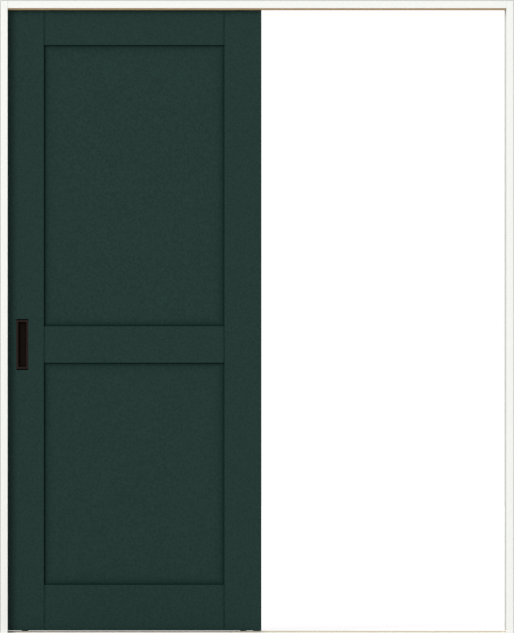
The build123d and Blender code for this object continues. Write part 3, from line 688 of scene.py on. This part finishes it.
class Workpiece:
    """One mesh on the bench, shaped in edit mode with Blender's own operators."""

    def __init__(self, obj: bpy.types.Object, name: str) -> None:
        """Apply a fresh primitive's place and size, and open it for editing.

        Args:
            obj: the primitive, which is the active object.
            name: the piece's name.
        """
        self.obj = obj
        obj.name = name
        obj.data.name = name
        bpy.ops.object.transform_apply(location=True, rotation=True, scale=True)
        bpy.ops.object.mode_set(mode="EDIT")

    @classmethod
    def box(cls, name: str, low: Triple, high: Triple) -> "Workpiece":
        """Start from a block between two corners.

        Args:
            name: the piece's name.
            low, high: opposite corners.

        Returns:
            The block, open for editing.
        """
        pick_only()
        middle = [(a + b) / 2 for a, b in zip(low, high)]
        bpy.ops.mesh.primitive_cube_add(size=1.0, location=middle)
        bpy.context.active_object.scale = [abs(b - a) for a, b in zip(low, high)]
        return cls(bpy.context.active_object, name)

    @classmethod
    def turned(cls, name: str, rings: Sequence[Span], sides: int) -> "Workpiece":
        """Draw a round piece down from a disc at the origin, ring by ring.

        Args:
            name: the piece's name.
            rings: depth and radius of every ring, from the disc downwards.
            sides: how many edges it has all round.

        Returns:
            The piece, open for editing.
        """
        (depth, radius), *lower = rings
        pick_only()
        bpy.ops.mesh.primitive_circle_add(vertices=sides, radius=radius, fill_type="NGON")
        piece = cls(bpy.context.active_object, name)
        for next_depth, next_radius in lower:
            piece.extrude((0, 0, depth - next_depth))
            share = next_radius / radius
            piece.resize((share, share, 1), (0, 0, -next_depth))
            depth, radius = next_depth, next_radius
        return piece

    def pick_faces(self, test: Test) -> None:
        """Select some faces and nothing else.

        Args:
            test: tells from a face's middle and normal whether it is picked.
        """
        bpy.ops.mesh.select_mode(type="FACE")
        bpy.ops.mesh.select_all(action="DESELECT")
        mesh = bmesh.from_edit_mesh(self.obj.data)
        for face in mesh.faces:
            face.select_set(test(face.calc_center_median(), face.normal))
        bmesh.update_edit_mesh(self.obj.data)

    def pick_edges(self, test: Test) -> None:
        """Select some edges and nothing else.

        Args:
            test: tells from an edge's middle and direction whether it is picked.
        """
        bpy.ops.mesh.select_mode(type="EDGE")
        bpy.ops.mesh.select_all(action="DESELECT")
        mesh = bmesh.from_edit_mesh(self.obj.data)
        for edge in mesh.edges:
            start, end = (vert.co for vert in edge.verts)
            edge.select_set(test((start + end) / 2, (end - start).normalized()))
        bmesh.update_edit_mesh(self.obj.data)

    def pick_points(self, test: Callable[[Vector], bool]) -> None:
        """Select some points and nothing else.

        Args:
            test: tells from a point's place whether it is picked.
        """
        bpy.ops.mesh.select_mode(type="VERT")
        bpy.ops.mesh.select_all(action="DESELECT")
        mesh = bmesh.from_edit_mesh(self.obj.data)
        for vert in mesh.verts:
            vert.select_set(test(vert.co))
        bmesh.update_edit_mesh(self.obj.data)

    def inset(self, width: float) -> None:
        """Draw a border inside the picked face."""
        bpy.ops.mesh.inset(thickness=width)

    def extrude(self, way: Triple) -> None:
        """Draw the picked faces out along a vector."""
        bpy.ops.mesh.extrude_region_move(TRANSFORM_OT_translate={"value": way})

    def resize(self, factors: Triple, middle: Triple) -> None:
        """Scale what is picked about a point."""
        bpy.ops.transform.resize(value=factors, center_override=middle)

    def bevel(self, width: float, steps: int) -> None:
        """Round the picked edges."""
        bpy.ops.mesh.bevel(offset=width, segments=steps, affect="EDGES")

    def finish(self, material: bpy.types.Material, angle: float = 35.0) -> bpy.types.Object:
        """Close the mesh, shade it and give it its finish.

        Args:
            material: the finish.
            angle: edges flatter than this are shaded smooth, in degrees.

        Returns:
            The finished piece.
        """
        bpy.ops.mesh.select_mode(type="VERT")
        bpy.ops.mesh.select_all(action="SELECT")
        bpy.ops.mesh.remove_doubles(threshold=MERGE)
        bpy.ops.mesh.normals_make_consistent(inside=False)
        bpy.ops.object.mode_set(mode="OBJECT")
        bpy.ops.object.shade_smooth_by_angle(angle=radians(angle))
        self.obj.data.materials.clear()
        self.obj.data.materials.append(material)
        return self.obj


class Door:
    """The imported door, whose solids are dressed and which new pieces are hung on."""

    def __init__(self, frame: Mapping[str, Any]) -> None:
        """Keep the nodes of the loaded frame."""
        self.nodes: Mapping[str, bpy.types.Object] = frame["nodes"]

    def dress(self, node: str, material: bpy.types.Material) -> None:
        """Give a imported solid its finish.

        Args:
            node: the solid's name.
            material: the finish, as a material.
        """
        obj = self.nodes[node]
        if not obj.material_slots:
            obj.data.materials.append(None)
        for slot in obj.material_slots:
            slot.material = material
        log.info("dressed %s with %s", node, material.name)

    @staticmethod
    def fit(piece: bpy.types.Object, body: str, slot: str, *stands_for: str) -> None:
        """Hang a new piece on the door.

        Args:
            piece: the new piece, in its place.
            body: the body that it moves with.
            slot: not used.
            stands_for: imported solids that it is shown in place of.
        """
        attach(piece, body)
        if stands_for:
            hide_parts(*stands_for)
        log.info("built %s on %s", piece.name, body)


@dataclass(frozen=True)
class Seat:
    """Where one straight fastener sits: its head, the way it points, and its sizes."""

    head: Vector
    way: Vector
    length: float
    head_radius: float
    shank_radius: float

    @classmethod
    def read(cls, points: Sequence[Vector]) -> "Seat":
        """Read a fastener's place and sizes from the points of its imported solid.

        Args:
            points: the solid's points.

        Returns:
            The seat.
        """
        low = Vector([min(p[i] for p in points) for i in range(3)])
        high = Vector([max(p[i] for p in points) for i in range(3)])
        axis = max(range(3), key=lambda i: high[i] - low[i])
        middle = (low + high) / 2
        flat = [Vector([0 if i == axis else p[i] - middle[i] for i in range(3)]) for p in points]
        reach = [offset.length for offset in flat]
        head_radius = max(reach)
        head_first = points[reach.index(head_radius)][axis] > middle[axis]
        head = middle.copy()
        head[axis] = high[axis] if head_first else low[axis]
        way = Vector((0, 0, 0))
        way[axis] = -1 if head_first else 1
        shank_radius = min(r for r in reach if r > AXIS_SHARE * head_radius)
        return cls(head, way, high[axis] - low[axis], head_radius, shank_radius)

    def matrix(self) -> Matrix:
        """Turn and move a model that points down from the origin into this seat."""
        turn = Vector((0, 0, -1)).rotation_difference(self.way).to_matrix().to_4x4()
        return Matrix.Translation(self.head) @ turn


class FastenerGroup:
    """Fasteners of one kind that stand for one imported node."""

    def __init__(self, door: Door, node: str) -> None:
        """Read the seats of all the node's solids.

        Args:
            door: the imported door.
            node: the node's name.
        """
        self.door = door
        self.node = node
        self.seats = [Seat.read(points) for points in self.solids()]

    def solids(self) -> List[List[Vector]]:
        """Take a merged copy of the node apart.

        Returns:
            Points of each separate solid, in a fixed order.
        """
        pick_only(self.door.nodes[self.node])
        bpy.ops.object.duplicate()
        bpy.ops.object.mode_set(mode="EDIT")
        bpy.ops.mesh.select_all(action="SELECT")
        bpy.ops.mesh.remove_doubles(threshold=MERGE)
        bpy.ops.mesh.separate(type="LOOSE")
        bpy.ops.object.mode_set(mode="OBJECT")
        found = [[v.co.copy() for v in part.data.vertices] for part in bpy.context.selected_objects]
        bpy.ops.object.delete()
        return sorted(found, key=lambda points: tuple(points[0]))

    def place(self, model: bpy.types.Object, name: str) -> bpy.types.Object:
        """Copy one model into every seat and join the copies.

        Args:
            model: the model, pointing down from the origin. It is used up.
            name: name of the joined piece.

        Returns:
            The joined piece.
        """
        copies = []
        for seat in self.seats:
            pick_only(model)
            bpy.ops.object.duplicate()
            copy = bpy.context.active_object
            copy.matrix_world = seat.matrix()
            bpy.ops.object.transform_apply(location=True, rotation=True, scale=True)
            copies.append(copy)
        pick_only(model)
        bpy.ops.object.delete()
        pick_only(*copies)
        if len(copies) > 1:
            bpy.ops.object.join()
        copies[0].name = name
        copies[0].data.name = name
        return copies[0]


@dataclass
class WoodScrews:
    """Countersunk wood screws with a cross recess, a plain neck and a cut thread.

    The bars that cut the recess are sized in shares of the head's radius, the neck in a share of the
    screw's length, the core in a share of the shank's radius, and the root and tip in shares of the
    core's radius.
    """

    group: FastenerGroup
    body: str
    metal: bpy.types.Material
    sides: int = 20
    bar_turns: Span = (0.0, 90.0)
    bar_size: Triple = (0.62, 0.14, 0.6)
    bar_taper: Triple = (0.45, 0.8, 1.0)
    neck_share: float = 0.35
    neck_end_slope: float = 0.5 * MM
    core_share: float = 0.68
    root_share: float = 0.9
    tip: float = 4 * MM
    tip_share: float = 0.1
    pitch: float = 1.8 * MM
    steps: int = 14

    def build(self) -> None:
        """Model one screw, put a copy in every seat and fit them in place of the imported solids."""
        model = self.model(self.group.seats[0])
        node = self.group.node
        piece = self.group.place(model, f"{node}_threaded")
        self.group.door.fit(piece, self.body, "screw_steel", node)

    def model(self, seat: Seat) -> bpy.types.Object:
        """Model one screw that points down from the origin.

        Args:
            seat: gives its sizes.

        Returns:
            The screw.
        """
        neck_end = self.neck_share * seat.length
        core = self.core_share * seat.shank_radius
        shank = self.turn_shank(seat, neck_end, core)
        self.cut_drive(shank, seat.head_radius)
        thread = self.wind_thread(seat, neck_end, core)
        pick_only(shank, thread)
        bpy.ops.object.join()
        return shank

    def turn_shank(self, seat: Seat, neck_end: float, core: float) -> bpy.types.Object:
        """Draw out the head, neck, core and tip.

        Args:
            seat: gives the screw's sizes.
            neck_end: depth at which the plain neck ends.
            core: radius of the core under the thread.

        Returns:
            The plain screw.
        """
        rings = (
            (0.0, seat.head_radius),
            (seat.head_radius - seat.shank_radius, seat.shank_radius),
            (neck_end, seat.shank_radius),
            (neck_end + self.neck_end_slope, core),
            (seat.length - self.tip, core),
            (seat.length, self.tip_share * core),
        )
        return Workpiece.turned("screw", rings, self.sides).finish(self.metal)

    def cut_drive(self, screw: bpy.types.Object, head_radius: float) -> None:
        """Cut the recess for the driver into the head.

        Args:
            screw: the plain screw.
            head_radius: radius of its head.
        """
        reach, width, depth = (share * head_radius for share in self.bar_size)
        for turn in self.bar_turns:
            bar = Workpiece.box("bar", (-reach, -width, -depth), (reach, width, depth))
            bar.pick_faces(lambda at, normal: normal.z < -ALONG)
            bar.resize(self.bar_taper, (0, 0, -depth))
            cutter = bar.finish(self.metal)
            cutter.rotation_euler = (0, 0, radians(turn))
            bpy.ops.object.transform_apply(location=True, rotation=True, scale=True)
            pick_only(screw)
            cut = screw.modifiers.new("drive", "BOOLEAN")
            cut.operation = "DIFFERENCE"
            cut.object = cutter
            bpy.ops.object.modifier_apply(modifier=cut.name)
            pick_only(cutter)
            bpy.ops.object.delete()

    def wind_thread(self, seat: Seat, neck_end: float, core: float) -> bpy.types.Object:
        """Wind a closed thread round the core.

        A square on its corner loses its inner corner, and its outer one is drawn to the crest.

        Args:
            seat: gives the screw's sizes.
            neck_end: depth at which the thread starts.
            core: radius of the core.

        Returns:
            The thread.
        """
        root, half = self.root_share * core, self.pitch / 2
        pick_only()
        bpy.ops.mesh.primitive_circle_add(
            vertices=4, radius=half, location=(root, 0, -neck_end - half), rotation=(pi / 2, 0, 0)
        )
        coil = Workpiece(bpy.context.active_object, "thread")
        coil.pick_points(lambda at: at.x < root - IN_PLANE)
        bpy.ops.mesh.delete(type="VERT")
        coil.pick_points(lambda at: at.x > root + IN_PLANE)
        bpy.ops.transform.translate(value=(seat.shank_radius - root - half, 0, 0))
        bpy.ops.object.mode_set(mode="OBJECT")
        wind = coil.obj.modifiers.new("thread", "SCREW")
        wind.axis = "Z"
        wind.angle = 2 * pi
        wind.screw_offset = -self.pitch
        wind.iterations = max(int((seat.length - neck_end - self.tip) / self.pitch), 1)
        wind.steps = wind.render_steps = self.steps
        wind.use_merge_vertices = True
        wind.merge_threshold = MERGE
        bpy.ops.object.modifier_apply(modifier=wind.name)
        bpy.ops.object.mode_set(mode="EDIT")
        bpy.ops.mesh.select_all(action="SELECT")
        bpy.ops.mesh.remove_doubles(threshold=MERGE)
        bpy.ops.mesh.fill_holes(sides=0)
        return coil.finish(self.metal)


@dataclass
class FlutedDowels:
    """Wooden dowels with tapered ends and flutes that let the glue pass."""

    group: FastenerGroup
    wood: bpy.types.Material
    sides: int = 36
    flute_step: int = 3
    flute_depth: float = 0.5 * MM
    taper: float = 1 * MM
    smooth_angle: float = 15.0

    def build(self) -> None:
        """Model one dowel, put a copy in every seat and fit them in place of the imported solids."""
        seat = self.group.seats[0]
        radius, length = seat.head_radius, seat.length
        rings = (
            (0.0, radius - self.taper),
            (self.taper, radius),
            (length - self.taper, radius),
            (length, radius - self.taper),
        )
        piece = Workpiece.turned("dowel", rings, self.sides)
        piece.pick_edges(self.is_flute)
        share = (radius - self.flute_depth) / radius
        piece.resize((share, share, 1), (0, 0, 0))
        model = piece.finish(self.wood, self.smooth_angle)
        node = self.group.node
        dowels = self.group.place(model, f"{node}_fluted")
        self.group.door.fit(dowels, "leaf", "beech", node)

    def is_flute(self, at: Vector, way: Vector) -> bool:
        """Tell from its middle and direction whether an edge is the bottom of a flute."""
        count = round(atan2(at.y, at.x) / (2 * pi / self.sides))
        return abs(way.z) > ALONG and count % self.flute_step == 0


@dataclass
class FixedFrame:
    """Jambs, head and mullion in white foil, with the strips and rails that are fixed to them."""

    door: Door
    white: Colour = tone(246, 247, 242)
    # Grey of the painted shade along every board's edges; it also marks the joints between head and
    # jambs.
    joint: Colour = tone(206, 207, 202)
    tan: Colour = tone(200, 168, 124)
    rail_flank: Colour = tone(242, 241, 237)
    rail_crest: Colour = tone(208, 180, 132)
    strip: Colour = tone(200, 201, 196)
    seal: Colour = tone(176, 177, 172)
    rubber: Colour = tone(46, 46, 45)

    def build(self) -> None:
        """Give every fixed solid its finish."""
        for node in ("latch_jamb", "rear_jamb", "head", "mullion"):
            self.wrap(node, Run.ACROSS if node == "head" else Run.UPRIGHT)
        tan = Moulded("tan_resin", self.tan, roughness=0.55).material()
        self.door.dress("top_guide_rail", tan)
        self.door.dress("open_stop", tan)
        rail = RailMetal(
            "champagne_aluminium",
            self.rail_flank,
            roughness=0.42,
            metallic=0.05,
            run=Run.ACROSS,
            crest=corners("floor_rail")[1][2],
            crest_colour=self.rail_crest,
        )
        self.door.dress("floor_rail", rail.material())
        seal = Moulded("seal_rubber", self.seal, roughness=0.7, sheen_level=0.2)
        self.door.dress("latch_seal", seal.material())
        strip = Moulded("grey_strip", self.strip, roughness=0.6, sheen_level=0.25)
        self.door.dress("rear_buffer", strip.material())
        pad = Moulded("buffer_rubber", self.rubber, roughness=0.75)
        self.door.dress("open_stop_pad", pad.material())

    def wrap(self, node: str, run: Run) -> None:
        """Wrap one board of the frame in foil.

        Args:
            node: the board.
            run: the way it runs.
        """
        low, high = corners(node)
        board = FrameBoard(
            f"white_foil_{node}",
            self.white,
            roughness=0.5,
            low=low,
            high=high,
            run=run,
            mottle=0.015,
            sheen_level=0.3,
            edge_colour=self.joint,
            outer_x=corners("rear_jamb")[1][0],
            outer_top=corners("head")[1][2],
        )
        self.door.dress(node, board.material())


@dataclass
class Leaf:
    """The sliding leaf: stiles, rails and panels in dark green foil, and its inner dowels."""

    door: Door
    foil: Colour = tone(36, 56, 52)
    # Painted shade: each member blends towards this dark green near its edges, round the panels'
    # recesses, in the joints of rails and stiles, along the leaf's left and right edges, under the top
    # guide rail and at the foot.
    line: Colour = tone(3, 29, 24)
    recess_shade: EdgeShade = EdgeShade(9.5 * MM, 0.87)
    rim_line: EdgeShade = EdgeShade(1.6 * MM, 0.95)
    joint_line: EdgeShade = EdgeShade(3.0 * MM, 0.95)
    outer_shade: EdgeShade = EdgeShade(10 * MM, 0.35)
    beech: Colour = tone(205, 168, 126)
    neighbours: Mapping[str, Tuple[str, str]] = field(
        default_factory=lambda: {
            "upper_panel": ("top_rail", "mid_rail"),
            "lower_panel": ("mid_rail", "bottom_rail"),
        }
    )

    def build(self) -> None:
        """Give every wooden solid of the leaf its finish, and model the dowels."""
        for node in ("latch_stile", "rear_stile"):
            self.wrap(node, Run.UPRIGHT, self.rim_line, self.outer_shade)
        for node in ("top_rail", "mid_rail", "bottom_rail"):
            self.wrap(node, Run.ACROSS, self.joint_line, self.outer_shade)
        for node in self.neighbours:
            self.wrap(node, Run.UPRIGHT, self.recess_shade, self.recess_shade)
        beech = PlainWood("beech", self.beech, roughness=0.6).material()
        self.door.dress("leaf_dowels", beech)
        FlutedDowels(FastenerGroup(self.door, "leaf_dowels"), beech).build()

    def wrap(self, node: str, run: Run, sides: EdgeShade, ends: EdgeShade) -> None:
        """Wrap one member in foil.

        Args:
            node: the member.
            run: the way it runs.
            sides, ends: how painted shade darkens it towards its upright and its level edges.
        """
        low, high = self.shown(node)
        board = WrappedBoard(
            f"green_foil_{node}",
            self.foil,
            roughness=0.62,
            low=low,
            high=high,
            run=run,
            edge_colour=self.line,
            sides=sides,
            ends=ends,
        )
        self.door.dress(node, board.material())

    def shown(self, node: str) -> Tuple[Triple, Triple]:
        """Box whose edges a member's painted shade darkens towards.

        A panel has the opening that it shows in, a rail the stiles at its ends, and a stile the
        whole leaf. What the frame hides at the top and at the closing edge is left out.

        Args:
            node: the member.

        Returns:
            Lowest and highest corner of the box.
        """
        low, high = (list(corner) for corner in corners(node))
        first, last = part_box("latch_stile"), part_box("rear_stile")
        low[2], high[2] = first[0].z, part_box("top_guide_rail")[0].z
        if node.endswith("stile"):
            low[0], high[0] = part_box("latch_jamb")[1].x, last[1].x
        else:
            low[0], high[0] = first[1].x, last[0].x
        if node in self.neighbours:
            above, below = self.neighbours[node]
            low[2], high[2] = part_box(below)[1].z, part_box(above)[0].z
        return tuple(low), tuple(high)


class Facing(Enum):
    """Which face of the leaf a pull is on, as the sign of its way out along Y."""

    FRONT = -1
    BACK = 1


@dataclass
class FlushPull:
    """A folded metal cup with a flat rim, and a dark moulded cap across each end of the rim.

    The leaf's face, the rim's top and the recess's floor are kept as places along Y.
    """

    door: Door
    node: str
    facing: Facing
    plastic: bpy.types.Material
    bronze: Colour = tone(41, 31, 27)
    side_lip: float = 5.75 * MM
    end_lip: float = 9.5 * MM
    cap_height: float = 4.0 * MM
    cap_drop: float = 0.15 * MM
    wall: float = 1.2 * MM
    draft_share: float = 0.985
    lip_round: float = 0.4 * MM
    lip_steps: int = 3
    floor_round: float = 2.0 * MM
    cap_round: float = 1.2 * MM
    round_steps: int = 4
    low: Triple = field(init=False)
    high: Triple = field(init=False)
    face: float = field(init=False)
    top: float = field(init=False)
    floor: float = field(init=False)

    def __post_init__(self) -> None:
        """Read the pull's box from the frame, and work out its places along Y."""
        self.low, self.high = corners(self.node)
        leaf_low, leaf_high = corners("latch_stile")
        front = self.facing is Facing.FRONT
        self.face = leaf_low[1] if front else leaf_high[1]
        self.top = self.low[1] if front else self.high[1]
        self.floor = (self.high[1] if front else self.low[1]) + self.facing.value * self.wall

    def build(self) -> None:
        """Model the cup and its two caps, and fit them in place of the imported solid."""
        self.door.fit(self.build_cup(), "leaf", "dark_bronze", self.node)
        for end, inner, outer in (
            ("lower", self.low[2] + self.cap_height, self.low[2]),
            ("upper", self.high[2] - self.cap_height, self.high[2]),
        ):
            cap = self.build_cap(f"{self.node}_{end}_cap", inner, outer)
            self.door.fit(cap, "leaf", "roller_plastic")

    def build_cup(self) -> bpy.types.Object:
        """Model the cup.

        Returns:
            The finished cup.
        """
        out, low, high = self.facing.value, self.low, self.high
        bottom, top = low[2] + self.cap_height, high[2] - self.cap_height
        middle = ((low[0] + high[0]) / 2, self.face, (low[2] + high[2]) / 2)
        piece = Workpiece.box(
            f"{self.node}_cup", (low[0], self.face, bottom), (high[0], self.top, top)
        )
        inset_height = top - bottom - 2 * self.side_lip
        recess_height = high[2] - low[2] - 2 * self.end_lip
        piece.pick_faces(lambda at, normal: normal.y * out > ALONG)
        piece.inset(self.side_lip)
        piece.resize((1, 1, recess_height / inset_height), middle)
        piece.extrude((0, self.floor - self.top, 0))
        piece.resize((self.draft_share, 1, self.draft_share), middle)
        piece.pick_faces(lambda at, normal: normal.y * out < -ALONG)
        piece.inset(self.side_lip - self.wall)
        cup_height = recess_height + 2 * self.wall
        piece.resize((1, 1, cup_height / (inset_height + 2 * self.wall)), middle)
        piece.extrude((0, self.floor - out * self.wall - self.face, 0))
        piece.pick_edges(lambda at, way: abs(at.y - self.floor) < IN_PLANE)
        piece.bevel(self.floor_round, self.round_steps)
        piece.pick_edges(lambda at, way: abs(at.y - self.top) < IN_PLANE)
        piece.bevel(self.lip_round, self.lip_steps)
        return piece.finish(self.metal())

    def metal(self) -> bpy.types.Material:
        """Make the cup's bronze.

        Returns:
            The material, which knows where the recess is.
        """
        low, high = self.low, self.high
        return PullMetal(
            f"dark_bronze_{self.facing.name.lower()}",
            self.bronze,
            roughness=0.5,
            sheen_level=0.03,
            low=(low[0] + self.side_lip, low[1], low[2] + self.end_lip),
            high=(high[0] - self.side_lip, high[1], high[2] - self.end_lip),
            rim=self.top,
        ).material()

    def build_cap(self, name: str, inner: float, outer: float) -> bpy.types.Object:
        """Model one end cap.

        Args:
            name: the cap's name.
            inner, outer: heights of the cap's two long edges.

        Returns:
            The finished cap.
        """
        crest = self.top - self.facing.value * self.cap_drop
        piece = Workpiece.box(
            name, (self.low[0], self.face, inner), (self.high[0], crest, outer)
        )
        piece.pick_edges(lambda at, way: abs(at.y - crest) < IN_PLANE)
        piece.bevel(self.lip_round, self.lip_steps)
        piece.pick_edges(lambda at, way: abs(way.y) > ALONG and abs(at.z - outer) < IN_PLANE)
        piece.bevel(self.cap_round, self.round_steps)
        return piece.finish(self.plastic)


@dataclass
class Hardware:
    """Pulls, shoes, roller units and screws of the leaf and frame."""

    door: Door
    zinc: Colour = tone(190, 192, 193)
    sheet: Colour = tone(182, 184, 186)
    black: Colour = tone(52, 52, 53)
    white: Colour = tone(226, 225, 219)
    wheel: Colour = tone(219, 217, 208)
    cap: Colour = tone(2, 2, 2)
    screws: Mapping[str, str] = field(
        default_factory=lambda: {
            "frame_joint_screws": "frame",
            "guide_rail_screws": "frame",
            "open_stop_screw": "frame",
            "top_shoe_screws": "leaf",
            "roller_plate_screws": "leaf",
        }
    )

    def build(self) -> None:
        """Give every piece of hardware its finish, and model the screws and the pulls."""
        zinc = SatinMetal("screw_steel", self.zinc, roughness=0.32, metallic=1.0).material()
        for node, body in self.screws.items():
            self.door.dress(node, zinc)
            WoodScrews(FastenerGroup(self.door, node), body, zinc).build()
        self.dress_rollers(zinc)
        cap = Moulded("cap_plastic", self.cap, roughness=0.7, sheen_level=0.03).material()
        for node, facing in (("front_pull", Facing.FRONT), ("back_pull", Facing.BACK)):
            FlushPull(self.door, node, facing, cap).build()

    def dress_rollers(self, zinc: bpy.types.Material) -> None:
        """Give the pieces of both roller units and both shoes their finishes.

        Args:
            zinc: the plated steel of turned pieces.
        """
        sheet = SatinMetal(
            "pressed_steel", self.sheet, roughness=0.4, metallic=1.0, run=Run.ACROSS
        ).material()
        black = Moulded("roller_plastic", self.black, roughness=0.5).material()
        finishes = {
            "adjuster": zinc,
            "axle": zinc,
            "roller_case": sheet,
            "face_plate": sheet,
            "carriage": black,
            "wedge": black,
            "top_shoe": Moulded("shoe_plastic", self.white, roughness=0.45).material(),
            "wheel": Moulded("wheel_plastic", self.wheel, roughness=0.4).material(),
        }
        for side in ("latch", "rear"):
            for kind, material in finishes.items():
                self.door.dress(f"{side}_{kind}", material)


@dataclass
class Studio:
    """Floor, light and camera of a plain product picture."""

    floor_span: float = 80.0
    floor_drop: float = 0.5 * MM
    floor_white: Colour = (0.96, 0.96, 0.96, 1.0)
    floor_seen: Colour = (0.5, 0.5, 0.5, 1.0)
    floor_glow: float = 0.7
    sky_level: float = 0.45
    key_place: Triple = (-34.0, -52.0, 24.0)
    key_power: float = 24300.0
    fill_place: Triple = (30.0, 52.0, 23.0)
    fill_power: float = 12800.0
    lamp_span: float = 28.0
    camera_distance: float = 60.0
    camera_clear: float = 1.0
    sensor: float = 36.0
    pixel: float = 3.196 * MM

    def build(self, low: Vector, high: Vector) -> None:
        """Set up the whole studio round the door.

        Args:
            low, high: the door's box.
        """
        middle = (low + high) / 2
        self.build_floor()
        self.build_sky()
        self.build_lamp("key_light", self.key_place, self.key_power, middle)
        self.build_lamp("back_fill", self.fill_place, self.fill_power, middle)
        self.build_camera(low, high)

    @staticmethod
    def seen_directly(graph: Graph) -> Field:
        """Tell what the camera, a reflection or a clear piece shows from what only lights.

        Args:
            graph: the tree that asks.

        Returns:
            1 where the surface is seen, and 0 where it only lights the door.
        """
        seen = graph.add("ShaderNodeLightPath", output="Is Camera Ray")
        for ray in ("Is Glossy Ray", "Is Transmission Ray"):
            seen = seen.most(graph.add("ShaderNodeLightPath", output=ray))
        return seen

    def build_floor(self) -> None:
        """Lay a white floor that keeps the door's shadow."""
        pick_only()
        bpy.ops.mesh.primitive_plane_add(size=self.floor_span, location=(0, 0, -self.floor_drop))
        floor = bpy.context.active_object
        floor.name = "studio_floor"
        white = bpy.data.materials.new("floor_white")
        graph = Graph(white)
        seen = self.seen_directly(graph)
        paint = graph.blend(seen, self.floor_white, self.floor_seen)
        matt = graph.add("ShaderNodeBsdfDiffuse", None, {"Color": paint})
        lit = graph.blend(seen, BLACK, WHITE)
        glow = graph.add("ShaderNodeEmission", None, {"Color": lit, "Strength": self.floor_glow})
        graph.close(graph.add("ShaderNodeAddShader", None, {0: matt, 1: glow}))
        floor.data.materials.append(white)
        floor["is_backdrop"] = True

    def build_sky(self) -> None:
        """Light the door evenly from all round, in front of plain white."""
        world = bpy.data.worlds.new("studio")
        bpy.context.scene.world = world
        graph = Graph(world)
        light, white = (
            graph.add("ShaderNodeBackground", None, {"Color": WHITE, "Strength": level})
            for level in (self.sky_level, 1.0)
        )
        shown = {0: self.seen_directly(graph), 1: light, 2: white}
        graph.close(graph.add("ShaderNodeMixShader", None, shown), "ShaderNodeOutputWorld")

    def build_lamp(self, name: str, place: Triple, power: float, target: Vector) -> None:
        """Hang one large soft lamp.

        Args:
            name: the lamp's name.
            place: where it hangs.
            power: its strength, in watts.
            target: the point that it faces.
        """
        pick_only()
        bpy.ops.object.light_add(type="AREA", location=place)
        lamp = bpy.context.active_object
        lamp.name = name
        lamp.data.size = self.lamp_span
        lamp.data.energy = power
        lamp.rotation_euler = (target - Vector(place)).to_track_quat("-Z", "Y").to_euler()

    def build_camera(self, low: Vector, high: Vector) -> None:
        """Set a long lens square in front of the door, so that the frame fills the picture.

        Args:
            low, high: the door's box.
        """
        pick_only()
        bpy.ops.object.camera_add(
            location=((low.x + high.x) / 2, low.y - self.camera_distance, (low.z + high.z) / 2),
            rotation=(pi / 2, 0, 0),
        )
        camera = bpy.context.active_object
        camera.name = "camera"
        camera.data.sensor_width = self.sensor
        camera.data.lens = self.sensor * self.camera_distance / (PHOTO_HEIGHT_PX * self.pixel)
        camera.data.clip_start = self.camera_clear
        camera.data.clip_end = 2 * self.camera_distance + self.floor_span
        bpy.context.scene.camera = camera


def main() -> None:
    """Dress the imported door, add its fine pieces and set up the studio."""
    logging.basicConfig(level=logging.INFO, format="%(name)s: %(message)s")
    door = Door(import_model())
    cad_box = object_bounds()
    FixedFrame(door).build()
    Leaf(door).build()
    Hardware(door).build()
    low, high = (Vector(corner) for corner in cad_box)
    Studio().build(low, high)
    bpy.context.scene.view_settings.view_transform = "Standard"


if __name__ == "__main__":
    main()
